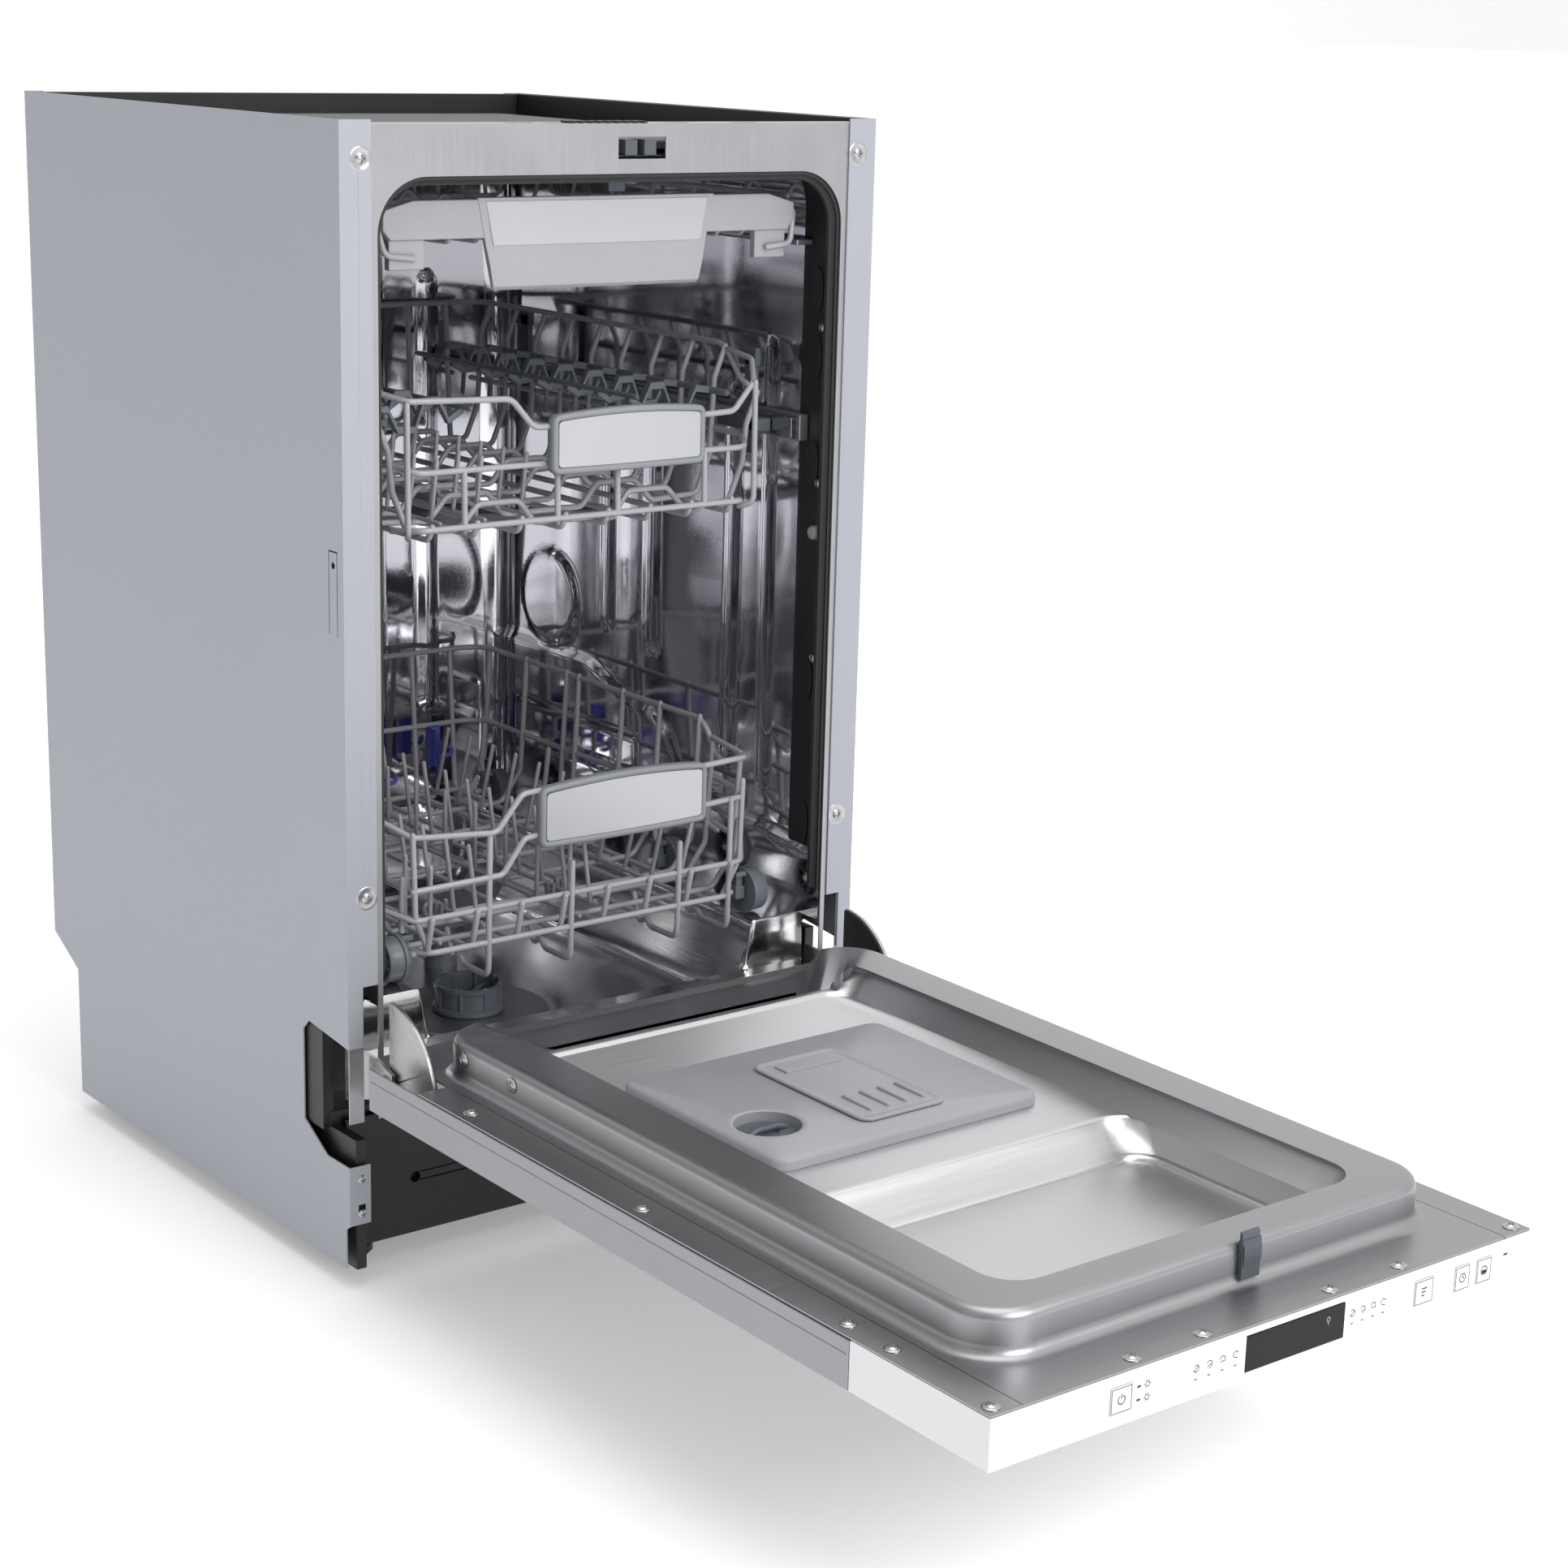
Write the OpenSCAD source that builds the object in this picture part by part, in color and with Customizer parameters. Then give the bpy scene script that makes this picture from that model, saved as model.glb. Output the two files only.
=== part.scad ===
// Slimline built-in dishwasher with its door open and its racks in.
// Origin: on the floor, half way across, in the plane of the cabinet's front flange.
// X runs to the right seen from the front, the door opens towards -Y, and Z is up.

/* [Cabinet] */
// Width over the two side panels
cab_w = 448; // [440:1:600]
// Height from the floor with the feet wound in
cab_h = 815; // [800:1:870]
// Depth behind the front flange
cab_d = 480; // [460:1:520]
// Thickness of the side panels and the front frame
sheet = 1.2; // [0.8:0.1:2]
// Half the width of the tub's mouth
mouth_half = 195; // [180:1:210]
// Height of the mouth's top edge
mouth_top = 778; // [740:1:785]
// Corner radius of the mouth
mouth_r = 38; // [20:1:50]

/* [Tub] */
// Half the width of the tub, inside
tub_half = 198; // [190:1:205]
// Half the width of the wash basin between the wheel ledges
basin_half = 148; // [140:1:155]
// Front face of the tub's back wall
tub_back_y = 462; // [440:1:470]
// Height of the basin's floor
basin_z = 140; // [135:1:150]

/* [Door] */
// Height of the hinge pins
hinge_z = 160; // [140:1:180]
// Distance of the hinge pins in front of the flange
hinge_out = 22; // [18:1:26]
// Reach of the door from its hinge line
door_reach = 648; // [600:1:660]
// Thickness of the door at its edge
door_t = 32; // [28:1:40]
// Length of the control panel along the door
panel_len = 118; // [80:1:140]
// Height of the pressed rim above the liner's flange
rim_h = 28; // [20:1:30]

/* [Racks] */
// Diameter of the rack wires
wire_d = 4.6; // [3:0.1:6]
// Front of the racks when they are in
rack_front = 42; // [36:1:60]
// Back of the racks when they are in
rack_back = 444; // [400:1:450]
// Radius of the lower rack's wheels
wheel_r = 18; // [14:1:22]
// Height of the lower rack's floor wires
low_floor_z = 222; // [215:1:240]
// Height of the upper rack's floor wires
up_floor_z = 526; // [500:1:560]
// Height of the cutlery tray's floor wires
tray_z = 728; // [715:1:740]

/* [Hidden] */
$fn = 48;
half = cab_w / 2;
hinge_y = -hinge_out;
flange_z = hinge_z + 18;
shelf_z = flange_z + rim_h;
door_end = hinge_y - door_reach;
panel_start = door_end + panel_len;
skirt_top = flange_z - sheet - 0.2;
door_half = half - 1;
rim_half = 186;
rim_end = hinge_y - 603;
pan_z = flange_z + 6;
deep_z = flange_z - 18;
deep_start = hinge_y - 380;
latch_x = 16;
lever_x = 203;
arm_y = 245;
wheel_gap = 0.3;
wheel_z = shelf_z + wheel_gap + wheel_r;
wheel_rows = [50, 155, 315, 415];
axle_r = 3;
button_xs = [-127, 123, 158, 178];
button_w = [16, 16, 13, 13];
panel_mid_z = flange_z - sheet - 15;
window_x = 12;
cap_x = -84;
cap_y = -296;
dish = [-118, -352, 106, -176]; // the dispenser's left, far, right and near edges
runner_z = 586;
low_hoop_z = 282;
guard_z = shelf_z + 3;
handle_x = 30;
drain_z = 70;
dish_top = flange_z + 15;
sides = [-1, 1];

// A box from its low corner to its high corner.
module block(low, high) {
    translate(low)
        cube(high - low);
}

// A six-sided wire from one point to another.
module wire(from, to, d = wire_d) {
    run = to - from;
    reach = norm(run);
    translate(from)
        rotate([0, acos(run[2] / reach), atan2(run[1], run[0])])
            cylinder(h = reach, d = d, $fn = 6);
}

// Wires through a list of points, each a little long so that the bends are filled.
module wire_path(points, d = wire_d) {
    for (i = [0 : len(points) - 2]) {
        step = points[i + 1] - points[i];
        spare = step / norm(step) * d * 0.3;
        wire(points[i] - spare, points[i + 1] + spare, d);
    }
}

// A rectangle with rounded corners, from low to high.
module round_rect(low, high, r) {
    translate(low + [r, 0])
        square(high - low - [2 * r, 0]);
    translate(low + [0, r])
        square(high - low - [0, 2 * r]);
    for (x = [low[0] + r, high[0] - r])
        for (y = [low[1] + r, high[1] - r])
            translate([x, y])
                circle(r);
}

// An outline seen from the front, given depth from y0 back to y1.
module front_cut(y0, y1) {
    translate([0, y1, 0])
        rotate([90, 0, 0])
            linear_extrude(y1 - y0)
                children();
}

// An outline seen from the side, in Y and Z, given width from x0 to x1.
module side_cut(x0, x1) {
    translate([x0, 0, 0])
        rotate([90, 0, 90])
            linear_extrude(x1 - x0)
                children();
}

// The children on the right, and their mirror image on the left.
module on_both_sides() {
    for (s = [0, 1])
        mirror([s, 0, 0])
            children();
}

// A round bar along an axis, from the point where it starts.
module peg(at, axis, h, r) {
    translate(at)
        rotate(axis == "x" ? [0, 90, 0] : axis == "y" ? [-90, 0, 0] : [0, 0, 0])
            cylinder(h = h, r = r);
}

// ---------------------------------------------------------------- cabinet

// The right-hand panel, with its front and rear flanges turned in.
module side_panel() {
    step_y = cab_d - 42;
    step_z = 143;
    tab_y = 14;
    cut_back = 64;
    difference() {
        union() {
            side_cut(half - sheet, half)
                polygon([
                    [6, 16], [step_y, 16], [step_y, step_z - 22], [cab_d, step_z],
                    [cab_d, cab_h], [0, cab_h], [0, 182], [cut_back - 8, 188],
                    [cut_back, 180], [cut_back, 112], [32, 94], [0, 94], [0, 50], [6, 46],
                ]);
            block([200, 0, 226], [half, sheet, cab_h]);
            block([212, 0, 182], [half, sheet, 226.5]);
            block([half - 17, 0, 50], [half, sheet, 94]);
            block([half - 15, cab_d - sheet, step_z + 10], [half, cab_d, cab_h]);
        }
        // a bend-out fixing tab, cut free on three sides
        for (y = [tab_y - 6, tab_y + 5])
            block([half - 2, y, 474], [half + 1, y + 1, 532]);
        block([half - 2, tab_y - 6, 531], [half + 1, tab_y + 6, 532]);
        peg([half - 3, tab_y, 522], "x", 5, 2.5);
        for (z = [290, 790])
            peg([208, -1, z], "y", 4, 2.3);
        peg([214, -1, 84], "y", 4, 2.3);
        block([211, -1, 59], [217, 4, 65]);
    }
}

module side_panel_right() {
    color("#aeb2b8")
        side_panel();
}

module side_panel_left() {
    color("#aeb2b8")
        mirror([1, 0, 0])
            side_panel();
}

module front_frame() {
    y0 = sheet + 0.1;
    color("#b9b9b6") {
        difference() {
            front_cut(y0, y0 + sheet)
                difference() {
                    translate([-half + 1.4, 126])
                        square([cab_w - 2.8, cab_h - 129]);
                    round_rect([-mouth_half, 172], [mouth_half, mouth_top], mouth_r);
                    translate([-mouth_half, 172])
                        square([2 * mouth_half, 60]);
                }
            on_both_sides() {
                block([199, 0, 120], [211, 5, 226]);
                for (z = [290, 790])
                    peg([208, 0, z], "y", 4, 2.3);
            }
            block([latch_x - 20, 0, 788], [latch_x + 20, 4, 803]);
        }
        difference() {
            block([-half + 1.4, y0, cab_h - 4.2], [half - 1.4, 26, cab_h - 3]);
            for (x = [-90, -60, 40, 100])
                block([x, 8, cab_h - 6], [x + 22, 16, cab_h]);
        }
    }
}

module cabinet_screws() {
    color("#c9cacc")
        for (s = sides)
            for (z = [290, 790]) {
                peg([s * 208, -1.7, z], "y", 1.7, 5);
                peg([s * 208, -0.1, z], "y", 9, 2);
            }
}

module sound_mat() {
    color("#5d6064")
        difference() {
            block([-192, 30, 793], [192, 456, 799]);
            for (x = [-70, 70])
                peg([x, 240, 792], "z", 8, 14);
        }
}

module toe_plate() {
    color("#1c1c1e")
        difference() {
            block([-207, 34, 18], [207, 36.5, 116]);
            for (x = [-150, 150])
                peg([x, 30, 60], "y", 10, 4);
        }
}

module base_tray() {
    wall = 3;
    color("#202022") {
        difference() {
            block([-216, 40, 14], [216, 448, 122]);
            block([-216 + wall, 40 + wall, 14 + wall], [216 - wall, 448 - wall, 123]);
            for (x = [-185, 185])
                peg([x, 70, 10], "z", 10, 5.05);
            peg([0, 424, 10], "z", 10, 5.05);
            peg([-120, 440, 60], "y", 12, 16.5);
            peg([120, 440, drain_z], "y", 12, 10.2);
            peg([170, 440, 60], "y", 12, 8.2);
        }
        for (x = [-180 : 45 : 180])
            block([x - 1.5, 37, 20], [x + 1.5, 40.1, 112]);
        on_both_sides() {
            block([208.5, 4, 14], [216.5, 41, 112]);
            for (z = [24 : 14 : 108])
                block([207.6, 4, z], [216.5, 41, z + 2]);
            block([213, 41, 110], [221.5, 90, 186]);
        }
    }
}

module foot() {
    cylinder(h = 6, r = 17);
    translate([0, 0, 5.9])
        cylinder(h = 38, r = 5);
}

module foot_front_left() {
    color("#3a3a3c")
        translate([-185, 70, 0])
            foot();
}

module foot_front_right() {
    color("#3a3a3c")
        translate([185, 70, 0])
            foot();
}

module foot_rear() {
    color("#3a3a3c")
        translate([0, 424, 0])
            foot();
}

// ---------------------------------------------------------------- tub

module tub_outline(inset) {
    r = 44 - inset;
    round_rect([-tub_half - 1 + inset, 120], [tub_half + 1 - inset, 792 - inset], r);
}

module tub_wrapper() {
    color("#c6c9cc") {
        front_cut(2.8, tub_back_y)
            difference() {
                tub_outline(0);
                tub_outline(1);
                translate([-300, 0])
                    square([600, shelf_z + 0.2]);
                translate([latch_x - 26, 780])
                    square([52, 20]);
            }
        front_cut(38, tub_back_y)
            translate([latch_x - 27, 791])
                square([54, 1]);
        // pressed stiffeners on the two side walls
        for (s = sides) {
            low_x = s > 0 ? tub_half - 2 : -tub_half - 0.2;
            for (y = [226, 290])
                block([low_x, y, 384], [low_x + 2.2, y + 18, 560]);
            block([low_x, 120, 300], [low_x + 2.2, 136, 560]);
            block([low_x, 250, 262], [low_x + 2.2, 430, 300]);
            peg([low_x, 384, 396], "x", 2.2, 42);
        }
    }
}

module tub_back() {
    color("#c6c9cc") {
        front_cut(tub_back_y + 0.1, tub_back_y + 1.3)
            round_rect([-tub_half - 1, 136], [tub_half + 1, 792], 44);
    }
}

// Two wheel ledges beside a sunk basin, with a low sill at the front.
module tub_floor() {
    skin = 1.5;
    sill = 168;
    wall_x = basin_half + skin;
    color("#c6c9cc") {
        difference() {
            union() {
                on_both_sides() {
                    block([wall_x - 0.01, 27, shelf_z - skin], [199.01, tub_back_y, shelf_z]);
                    block([wall_x, 27, sill - skin], [199, 28.5, shelf_z]);
                }
                block([-wall_x, 27, basin_z - skin], [wall_x, tub_back_y, shelf_z]);
                block([-199, 3, sill - skin], [199, 27.1, sill]);
            }
            block([-basin_half, 28.5, basin_z], [basin_half, tub_back_y - skin, shelf_z + 1]);
            block([-basin_half, 20, sill], [basin_half, 30, shelf_z + 1]);
            peg([-45, 130, basin_z - 5], "z", 10, 52);
            peg([-110, 60, basin_z - 5], "z", 10, 22);
            peg([0, arm_y, basin_z - 5], "z", 10, 14);
        }
    }
}

module gasket() {
    outer = mouth_half + 2.4;
    inner = mouth_half - 6.6;
    color("#161617")
        front_cut(2.9, 14)
            difference() {
                round_rect([-outer, 100], [outer, mouth_top + 4], mouth_r + 2);
                round_rect([-inner, 90], [inner, mouth_top - 6.6], mouth_r - 6);
                translate([-300, 0])
                    square([600, 232]);
            }
}

// The catch hangs behind the frame, with a finger that drops behind the door's tongue.
module latch_strike() {
    color("#4a4d52") {
        block([latch_x - 24, 15, 774], [latch_x + 24, 36, 790.5]);
        block([latch_x - 7, 31.5, 764], [latch_x + 7, 36, 774.1]);
        for (x = [-13, 3])
            block([latch_x + x, 3, 790.4], [latch_x + x + 10, 29, 801]);
        block([latch_x - 13, 15, 790.4], [latch_x + 13, 29, 801]);
    }
}

// ---------------------------------------------------------------- hinges

module hinge_brackets() {
    color("#b4b2aa")
        on_both_sides() {
            side_cut(lever_x + 2.4, lever_x + 5.2)
                polygon([
                    [-32, 155], [-27, 150.6], [-21, 149.6], [33, 132],
                    [33, 176], [-10, 176], [-32, 170],
                ]);
            peg([lever_x - 2.2, hinge_y, hinge_z], "x", 6, 4);
            peg([lever_x + 5.1, hinge_y, hinge_z], "x", 2.5, 7);
        }
}

// Quarter discs that turn with the door, each with an arm along the door's edge.
module hinge_levers() {
    r = 60;
    color("#bdbcb4")
        on_both_sides()
            difference() {
                union() {
                    intersection() {
                        peg([lever_x - 1.3, hinge_y, hinge_z], "x", 2.6, r);
                        block([lever_x - 3, hinge_y - r, hinge_z], [lever_x + 3, hinge_y, hinge_z + r]);
                    }
                    peg([lever_x - 1.3, hinge_y, hinge_z], "x", 2.6, 9);
                    block([lever_x - 1.3, hinge_y - 200, hinge_z - 8],
                          [lever_x + 1.3, hinge_y - 5, hinge_z + 8]);
                }
                peg([lever_x - 3, hinge_y, hinge_z], "x", 6, 4.05);
            }
}

// ---------------------------------------------------------------- inside the base

module sump() {
    color("#e6e6e2")
        difference() {
            translate([-45, 130, 62])
                cylinder(h = 76, r = 60);
            translate([-45, 130, 66])
                cylinder(h = 80, r = 56);
        }
}

module wash_pump() {
    color("#8e9196") {
        peg([40, 150, 80], "x", 90, 32);
        peg([130, 150, 80], "x", 22, 22);
        peg([17, 150, 80], "x", 24, 16);
    }
}

// The drain pump, with its pipe running back to the hose spigot.
module drain_pump() {
    color("#2f3236") {
        peg([-45, 196, drain_z], "y", 40, 18);
        peg([-45, 235, drain_z], "y", 30, 24);
        difference() {
            union() {
                peg([-45, 264, drain_z], "y", 46, 9);
                peg([-52, 300, drain_z], "x", 180, 10.5);
                peg([120, 292, drain_z], "y", 160, 10);
                peg([120, 451, drain_z], "y", 29, 9.5);
            }
            peg([120, 440, drain_z], "y", 50, 7.5);
        }
    }
}

module softener() {
    color("#eeeeea")
        block([-205, 90, 22], [-110, 300, 118]);
}

module inlet_valve() {
    color("#e8e8e4") {
        block([-150, 380, 40], [-90, 440, 90]);
        peg([-120, 439, 60], "y", 11, 16);
        difference() {
            peg([-120, 449.9, 60], "y", 24.1, 13.2);
            peg([-120, 456, 60], "y", 30, 8);
        }
    }
}

module cable_gland() {
    color("#232325")
        difference() {
            union() {
                peg([170, 435, 60], "y", 24, 8);
                peg([170, 448.2, 60], "y", 6, 12);
            }
            peg([170, 430, 60], "y", 40, 4);
        }
}

module spray_feed_pipe() {
    color("#9a9da1") {
        block([-14, 451, basin_z + 4], [14, 460.2, up_floor_z]);
        peg([0, 448, up_floor_z - 8], "y", 4, 7);
    }
}

module filter_mesh() {
    color("#b8babc")
        difference() {
            peg([-45, 130, basin_z + 0.1], "z", 2, 62);
            peg([-45, 130, basin_z - 1], "z", 4, 26.05);
        }
}

module filter_cylinder() {
    color("#9fa2a6") {
        peg([-45, 130, 90], "z", 66, 26);
        block([-66, 127, 155.9], [-24, 133, 166]);
    }
}

module salt_cap() {
    color("#a9abae") {
        peg([-110, 60, basin_z - 14], "z", 18, 21);
        block([-126, 57, basin_z + 3.9], [-94, 63, basin_z + 12]);
    }
}

// A bent two-blade arm with spray holes, turning on its hub.
module spray_blades(reach, thick) {
    holes = [0.35, 0.5, 0.65, 0.8, 0.92];
    difference() {
        union() {
            for (turn = [0, 180])
                rotate(turn)
                    linear_extrude(thick)
                        polygon([
                            [-18, -16], [reach * 0.5, -20], [reach * 0.85, -8], [reach, 8],
                            [reach - 4, 24], [reach * 0.78, 20], [reach * 0.45, 8], [-18, 16],
                        ]);
            cylinder(h = thick + 3, r = 26);
        }
        for (turn = [0, 180])
            rotate(turn)
                for (k = holes)
                    translate([reach * k, k > 0.8 ? 8 : -2, -1])
                        cylinder(h = thick + 5, r = 1.6);
    }
}

module lower_spray_arm() {
    color("#76828e")
        translate([0, arm_y, 176]) {
            rotate(35)
                spray_blades(138, 11);
            translate([0, 0, -40])
                cylinder(h = 41, r = 13.7);
        }
}

// ---------------------------------------------------------------- door

module liner_block(half_w, near, far, z0, z1, r) {
    translate([0, 0, z0])
        linear_extrude(z1 - z0) {
            round_rect([-half_w, far], [half_w, near], r);
            translate([-half_w, near - 2 * r])
                square([2 * half_w, 2 * r]);
        }
}

module door_liner() {
    near = hinge_y - 30;
    pan_near = near - 36;
    pan_far = rim_end + 36;
    lip_z = flange_z + 9;
    color("#bcbab6")
        difference() {
            union() {
                block([-door_half + 1, door_end + 1.5, flange_z - sheet],
                      [door_half - 1, hinge_y - 68, flange_z]);
                block([-198, hinge_y - 68.1, flange_z - sheet], [198, hinge_y - 2, flange_z]);
                liner_block(rim_half, near, rim_end, flange_z - sheet, shelf_z, 34);
                liner_block(basin_half + sheet, deep_start + sheet, pan_far - sheet,
                            deep_z - sheet, flange_z, 27);
            }
            // the underside of the pressed rim and the pan
            difference() {
                liner_block(rim_half - sheet, near - sheet, rim_end + sheet,
                            flange_z - sheet - 1, shelf_z - sheet, 33);
                liner_block(basin_half + sheet, pan_near + sheet, pan_far - sheet,
                            pan_z - sheet, shelf_z + 1, 27);
                liner_block(basin_half + sheet, deep_start + sheet, pan_far - sheet,
                            deep_z - sheet, shelf_z, 27);
                block([-basin_half - sheet, pan_near - 1, lip_z - sheet],
                      [basin_half + sheet, near + 1, shelf_z + 1]);
            }
            liner_block(basin_half, pan_near, pan_far, pan_z, shelf_z + 1, 26);
            liner_block(basin_half, deep_start, pan_far, deep_z, shelf_z, 26);
            // the rack's guard loops pass over this lower lip
            block([-basin_half, pan_near - 1, lip_z], [basin_half, near + 1, shelf_z + 1]);
            block([dish[0] + 3, dish[1] + 3, pan_z - 5], [dish[2] - 3, dish[3] - 3, pan_z + 5]);
            door_screw_spots()
                translate([0, 0, -6])
                    cylinder(h = 10, r = 2.2);
        }
}

// Places for the liner's screws: three down each edge and six along the end.
module door_screw_spots() {
    for (s = sides)
        for (y = [hinge_y - 110, hinge_y - 310, hinge_y - 500])
            translate([s * 212, y, flange_z])
                children();
    for (x = [-214, -110, -55, 50, 110, 214])
        translate([x, door_end + 10, flange_z])
            children();
}

module door_screws() {
    color("#cfcfcd")
        door_screw_spots() {
            cylinder(h = 1.4, r = 4.2);
            translate([0, 0, -9])
                cylinder(h = 9.1, r = 1.9);
        }
}

module door_skin() {
    wall = 1;
    low = flange_z - door_t;
    color("#b1b1ae")
        difference() {
            block([-door_half, panel_start + 0.2, low], [door_half, hinge_y - 4, skirt_top]);
            block([-door_half + wall, panel_start - 1, low + wall],
                  [door_half - wall, hinge_y, skirt_top + 1]);
            for (x = [-150, 150])
                for (y = [-120, -520])
                    peg([x, y, low - 1], "z", 4, 2.5);
        }
}

module control_panel() {
    wall = 2.5;
    low = flange_z - door_t;
    color("#f1f1f0")
        difference() {
            block([-door_half, door_end, low], [door_half, panel_start, skirt_top]);
            block([-door_half + wall, door_end + wall, low + wall],
                  [door_half - wall, panel_start + 1, skirt_top + 1]);
            block([window_x - 41.2, door_end - 1, panel_mid_z - 11.2],
                  [window_x + 41.2, door_end + 5, panel_mid_z + 11.2]);
            for (i = [0 : 3])
                block([button_xs[i] - button_w[i] / 2 - 0.4, door_end - 1, panel_mid_z - 8.4],
                      [button_xs[i] + button_w[i] / 2 + 0.4, door_end + 5, panel_mid_z + 8.4]);
        }
}

module display_window() {
    color("#101114")
        block([window_x - 41, door_end - 0.3, panel_mid_z - 11],
              [window_x + 41, door_end + 3, panel_mid_z + 11]);
}

module button(i) {
    w = button_w[i] / 2;
    color("#f4f4f3") {
        block([button_xs[i] - w, door_end - 0.5, panel_mid_z - 8],
              [button_xs[i] + w, door_end + 4, panel_mid_z + 8]);
        peg([button_xs[i], door_end + 3.9, panel_mid_z], "y", 6, 2.5);
    }
}

module button_power() {
    button(0);
}

module button_programme() {
    button(1);
}

module button_delay() {
    button(2);
}

module button_half_load() {
    button(3);
}

// A wedge on the rim's far wall that meets the catch when the door is shut.
module latch_tongue() {
    color("#4b5058")
        side_cut(latch_x - 8, latch_x + 8)
            polygon([
                [rim_end - 0.1, flange_z + 4], [rim_end - 5, flange_z + 10],
                [rim_end - 5, shelf_z + 2], [rim_end - 0.1, shelf_z + 6],
            ]);
}

module dispenser() {
    color("#7c8188")
        difference() {
            union() {
                block([dish[0], dish[1], pan_z + 0.1], [dish[2], dish[3], dish_top]);
                block([dish[0] + 4, dish[1] + 4, 150], [dish[2] - 4, dish[3] - 4, pan_z + 1]);
            }
            block([-26, -326, 156], [34, -214, dish_top + 1]);
            peg([cap_x, cap_y, pan_z - 20], "z", 60, 22.3);
        }
}

// The lid slides sideways off the detergent cup.
module detergent_lid() {
    color("#8b9097") {
        block([-32, -332, dish_top + 0.3], [40, -208, dish_top + 2.5]);
        for (k = [0 : 3])
            block([-22 + 15 * k, -324, dish_top + 2.4], [-18 + 15 * k, -292, dish_top + 3.5]);
    }
}

module rinse_cap() {
    color("#6b7077") {
        peg([cap_x, cap_y, pan_z - 19.8], "z", 23, 22);
        block([cap_x - 16, cap_y - 2.5, pan_z + 3], [cap_x + 16, cap_y + 2.5, dish_top - 1]);
    }
}

// ---------------------------------------------------------------- lower rack

// Evenly spaced values, both ends included.
function spread(low, high, count) = [for (i = [0 : count - 1]) low + (high - low) * i / (count - 1)];

// A wire rack: floor grid, leaning side wires, and closed hoops up the sides.
module rack(floor_half, top_half, z_floor, z_tops, along, across) {
    z_cross = z_floor + wire_d * 0.8;
    z_rim = z_tops[len(z_tops) - 1];
    for (x = spread(-floor_half + 8, floor_half - 8, along)) {
        wire([x, rack_front, z_floor], [x, rack_back, z_floor]);
        wire([x, rack_front, z_floor - 1], [x, rack_front - 4, z_rim]);
        wire([x, rack_back, z_floor - 1], [x, rack_back + 4, z_rim]);
    }
    for (y = spread(rack_front + 8, rack_back - 8, across)) {
        wire([-floor_half, y, z_cross], [floor_half, y, z_cross]);
        for (s = sides)
            wire([s * (floor_half - 1), y, z_cross - 1], [s * (top_half - 0.3), y, z_rim - 0.7]);
    }
    for (z = z_tops) {
        part = (z - z_floor) / (z_rim - z_floor);
        w = floor_half + (top_half - floor_half) * part;
        y0 = rack_front - 4 * part;
        y1 = rack_back + 4 * part;
        wire_path([[-w, y0, z], [w, y0, z], [w, y1, z], [-w, y1, z], [-w, y0, z]]);
    }
}

module lower_rack() {
    color("#8b8d92") {
        rack(142, 166, low_floor_z, [low_hoop_z, 346], 8, 10);
        for (y = wheel_rows)
            for (s = sides) {
                peg([s > 0 ? 138 : -171, y, wheel_z], "x", 33, axle_r);
                wire([s * 146, y, wheel_z - 2], [s * 153.5, y, low_hoop_z]);
            }
        // guard loops that hang below the floor at the front
        for (x = [-84, 8, 84, 118])
            wire_path([
                [x, rack_front - 4, low_hoop_z], [x, rack_front - 1, guard_z],
                [x, rack_front + 46, guard_z], [x, rack_front + 53, low_floor_z + 1],
            ]);
        // one fixed row of tines beside the folding rows
        wire([104, rack_front + 14, low_floor_z + 6], [104, rack_back - 14, low_floor_z + 6], 3.6);
        for (y = spread(rack_front + 40, rack_back - 40, 9))
            wire([104, y, low_floor_z + 5], [110, y - 10, low_floor_z + 62], 3.6);
    }
}

// A grip with a plate set in its face, to the right of the rack's middle.
module rack_handle(w, z, h, y) {
    translate([handle_x, y, z]) {
        difference() {
            block([-w / 2, 0, -h / 2], [w / 2, 9, h / 2]);
            block([-w / 2 + 7, -1, -h / 2 + 7], [w / 2 - 7, 2, h / 2 - 7]);
        }
        block([-w / 2 + 7.5, 0.6, -h / 2 + 7.5], [w / 2 - 7.5, 2.2, h / 2 - 7.5]);
    }
}

module lower_rack_handle() {
    color("#777b81")
        rack_handle(150, 318, 50, rack_front - 15.6);
}

// A folding row of tines on one straight bar.
module tine_row(x) {
    z = low_floor_z + 10.5;
    wire([x, rack_front + 14, z], [x, rack_back - 14, z], 3.6);
    for (y = spread(rack_front + 22, rack_back - 22, 12))
        wire([x, y, z - 1], [x - 8, y, z + 62], 3.6);
}

module plate_tines_left() {
    color("#8b8d92")
        tine_row(-78);
}

module plate_tines_right() {
    color("#8b8d92")
        tine_row(22);
}

module tine_clips() {
    color("#4b55b0")
        for (x = [-78, 22])
            for (y = [rack_front + 70, rack_back - 70])
                difference() {
                    block([x - 6, y - 5, low_floor_z + 3], [x + 6, y + 5, low_floor_z + 16]);
                    translate([x, y - 6, low_floor_z + 10.5])
                        rotate([-90, 0, 0])
                            cylinder(h = 12, r = 2.6);
                }
}

module wheel() {
    hub_r = 7;
    difference() {
        union() {
            difference() {
                cylinder(h = 12, r = wheel_r);
                translate([0, 0, 3])
                    cylinder(h = 10, r = wheel_r - 3);
            }
            cylinder(h = 12, r = hub_r);
            for (turn = [0 : 60 : 300])
                rotate(turn)
                    translate([hub_r - 1, -1, 0])
                        cube([wheel_r - 3 - hub_r + 2, 2, 11]);
        }
        translate([0, 0, -1])
            cylinder(h = 14, r = axle_r + 0.05);
    }
}

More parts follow.
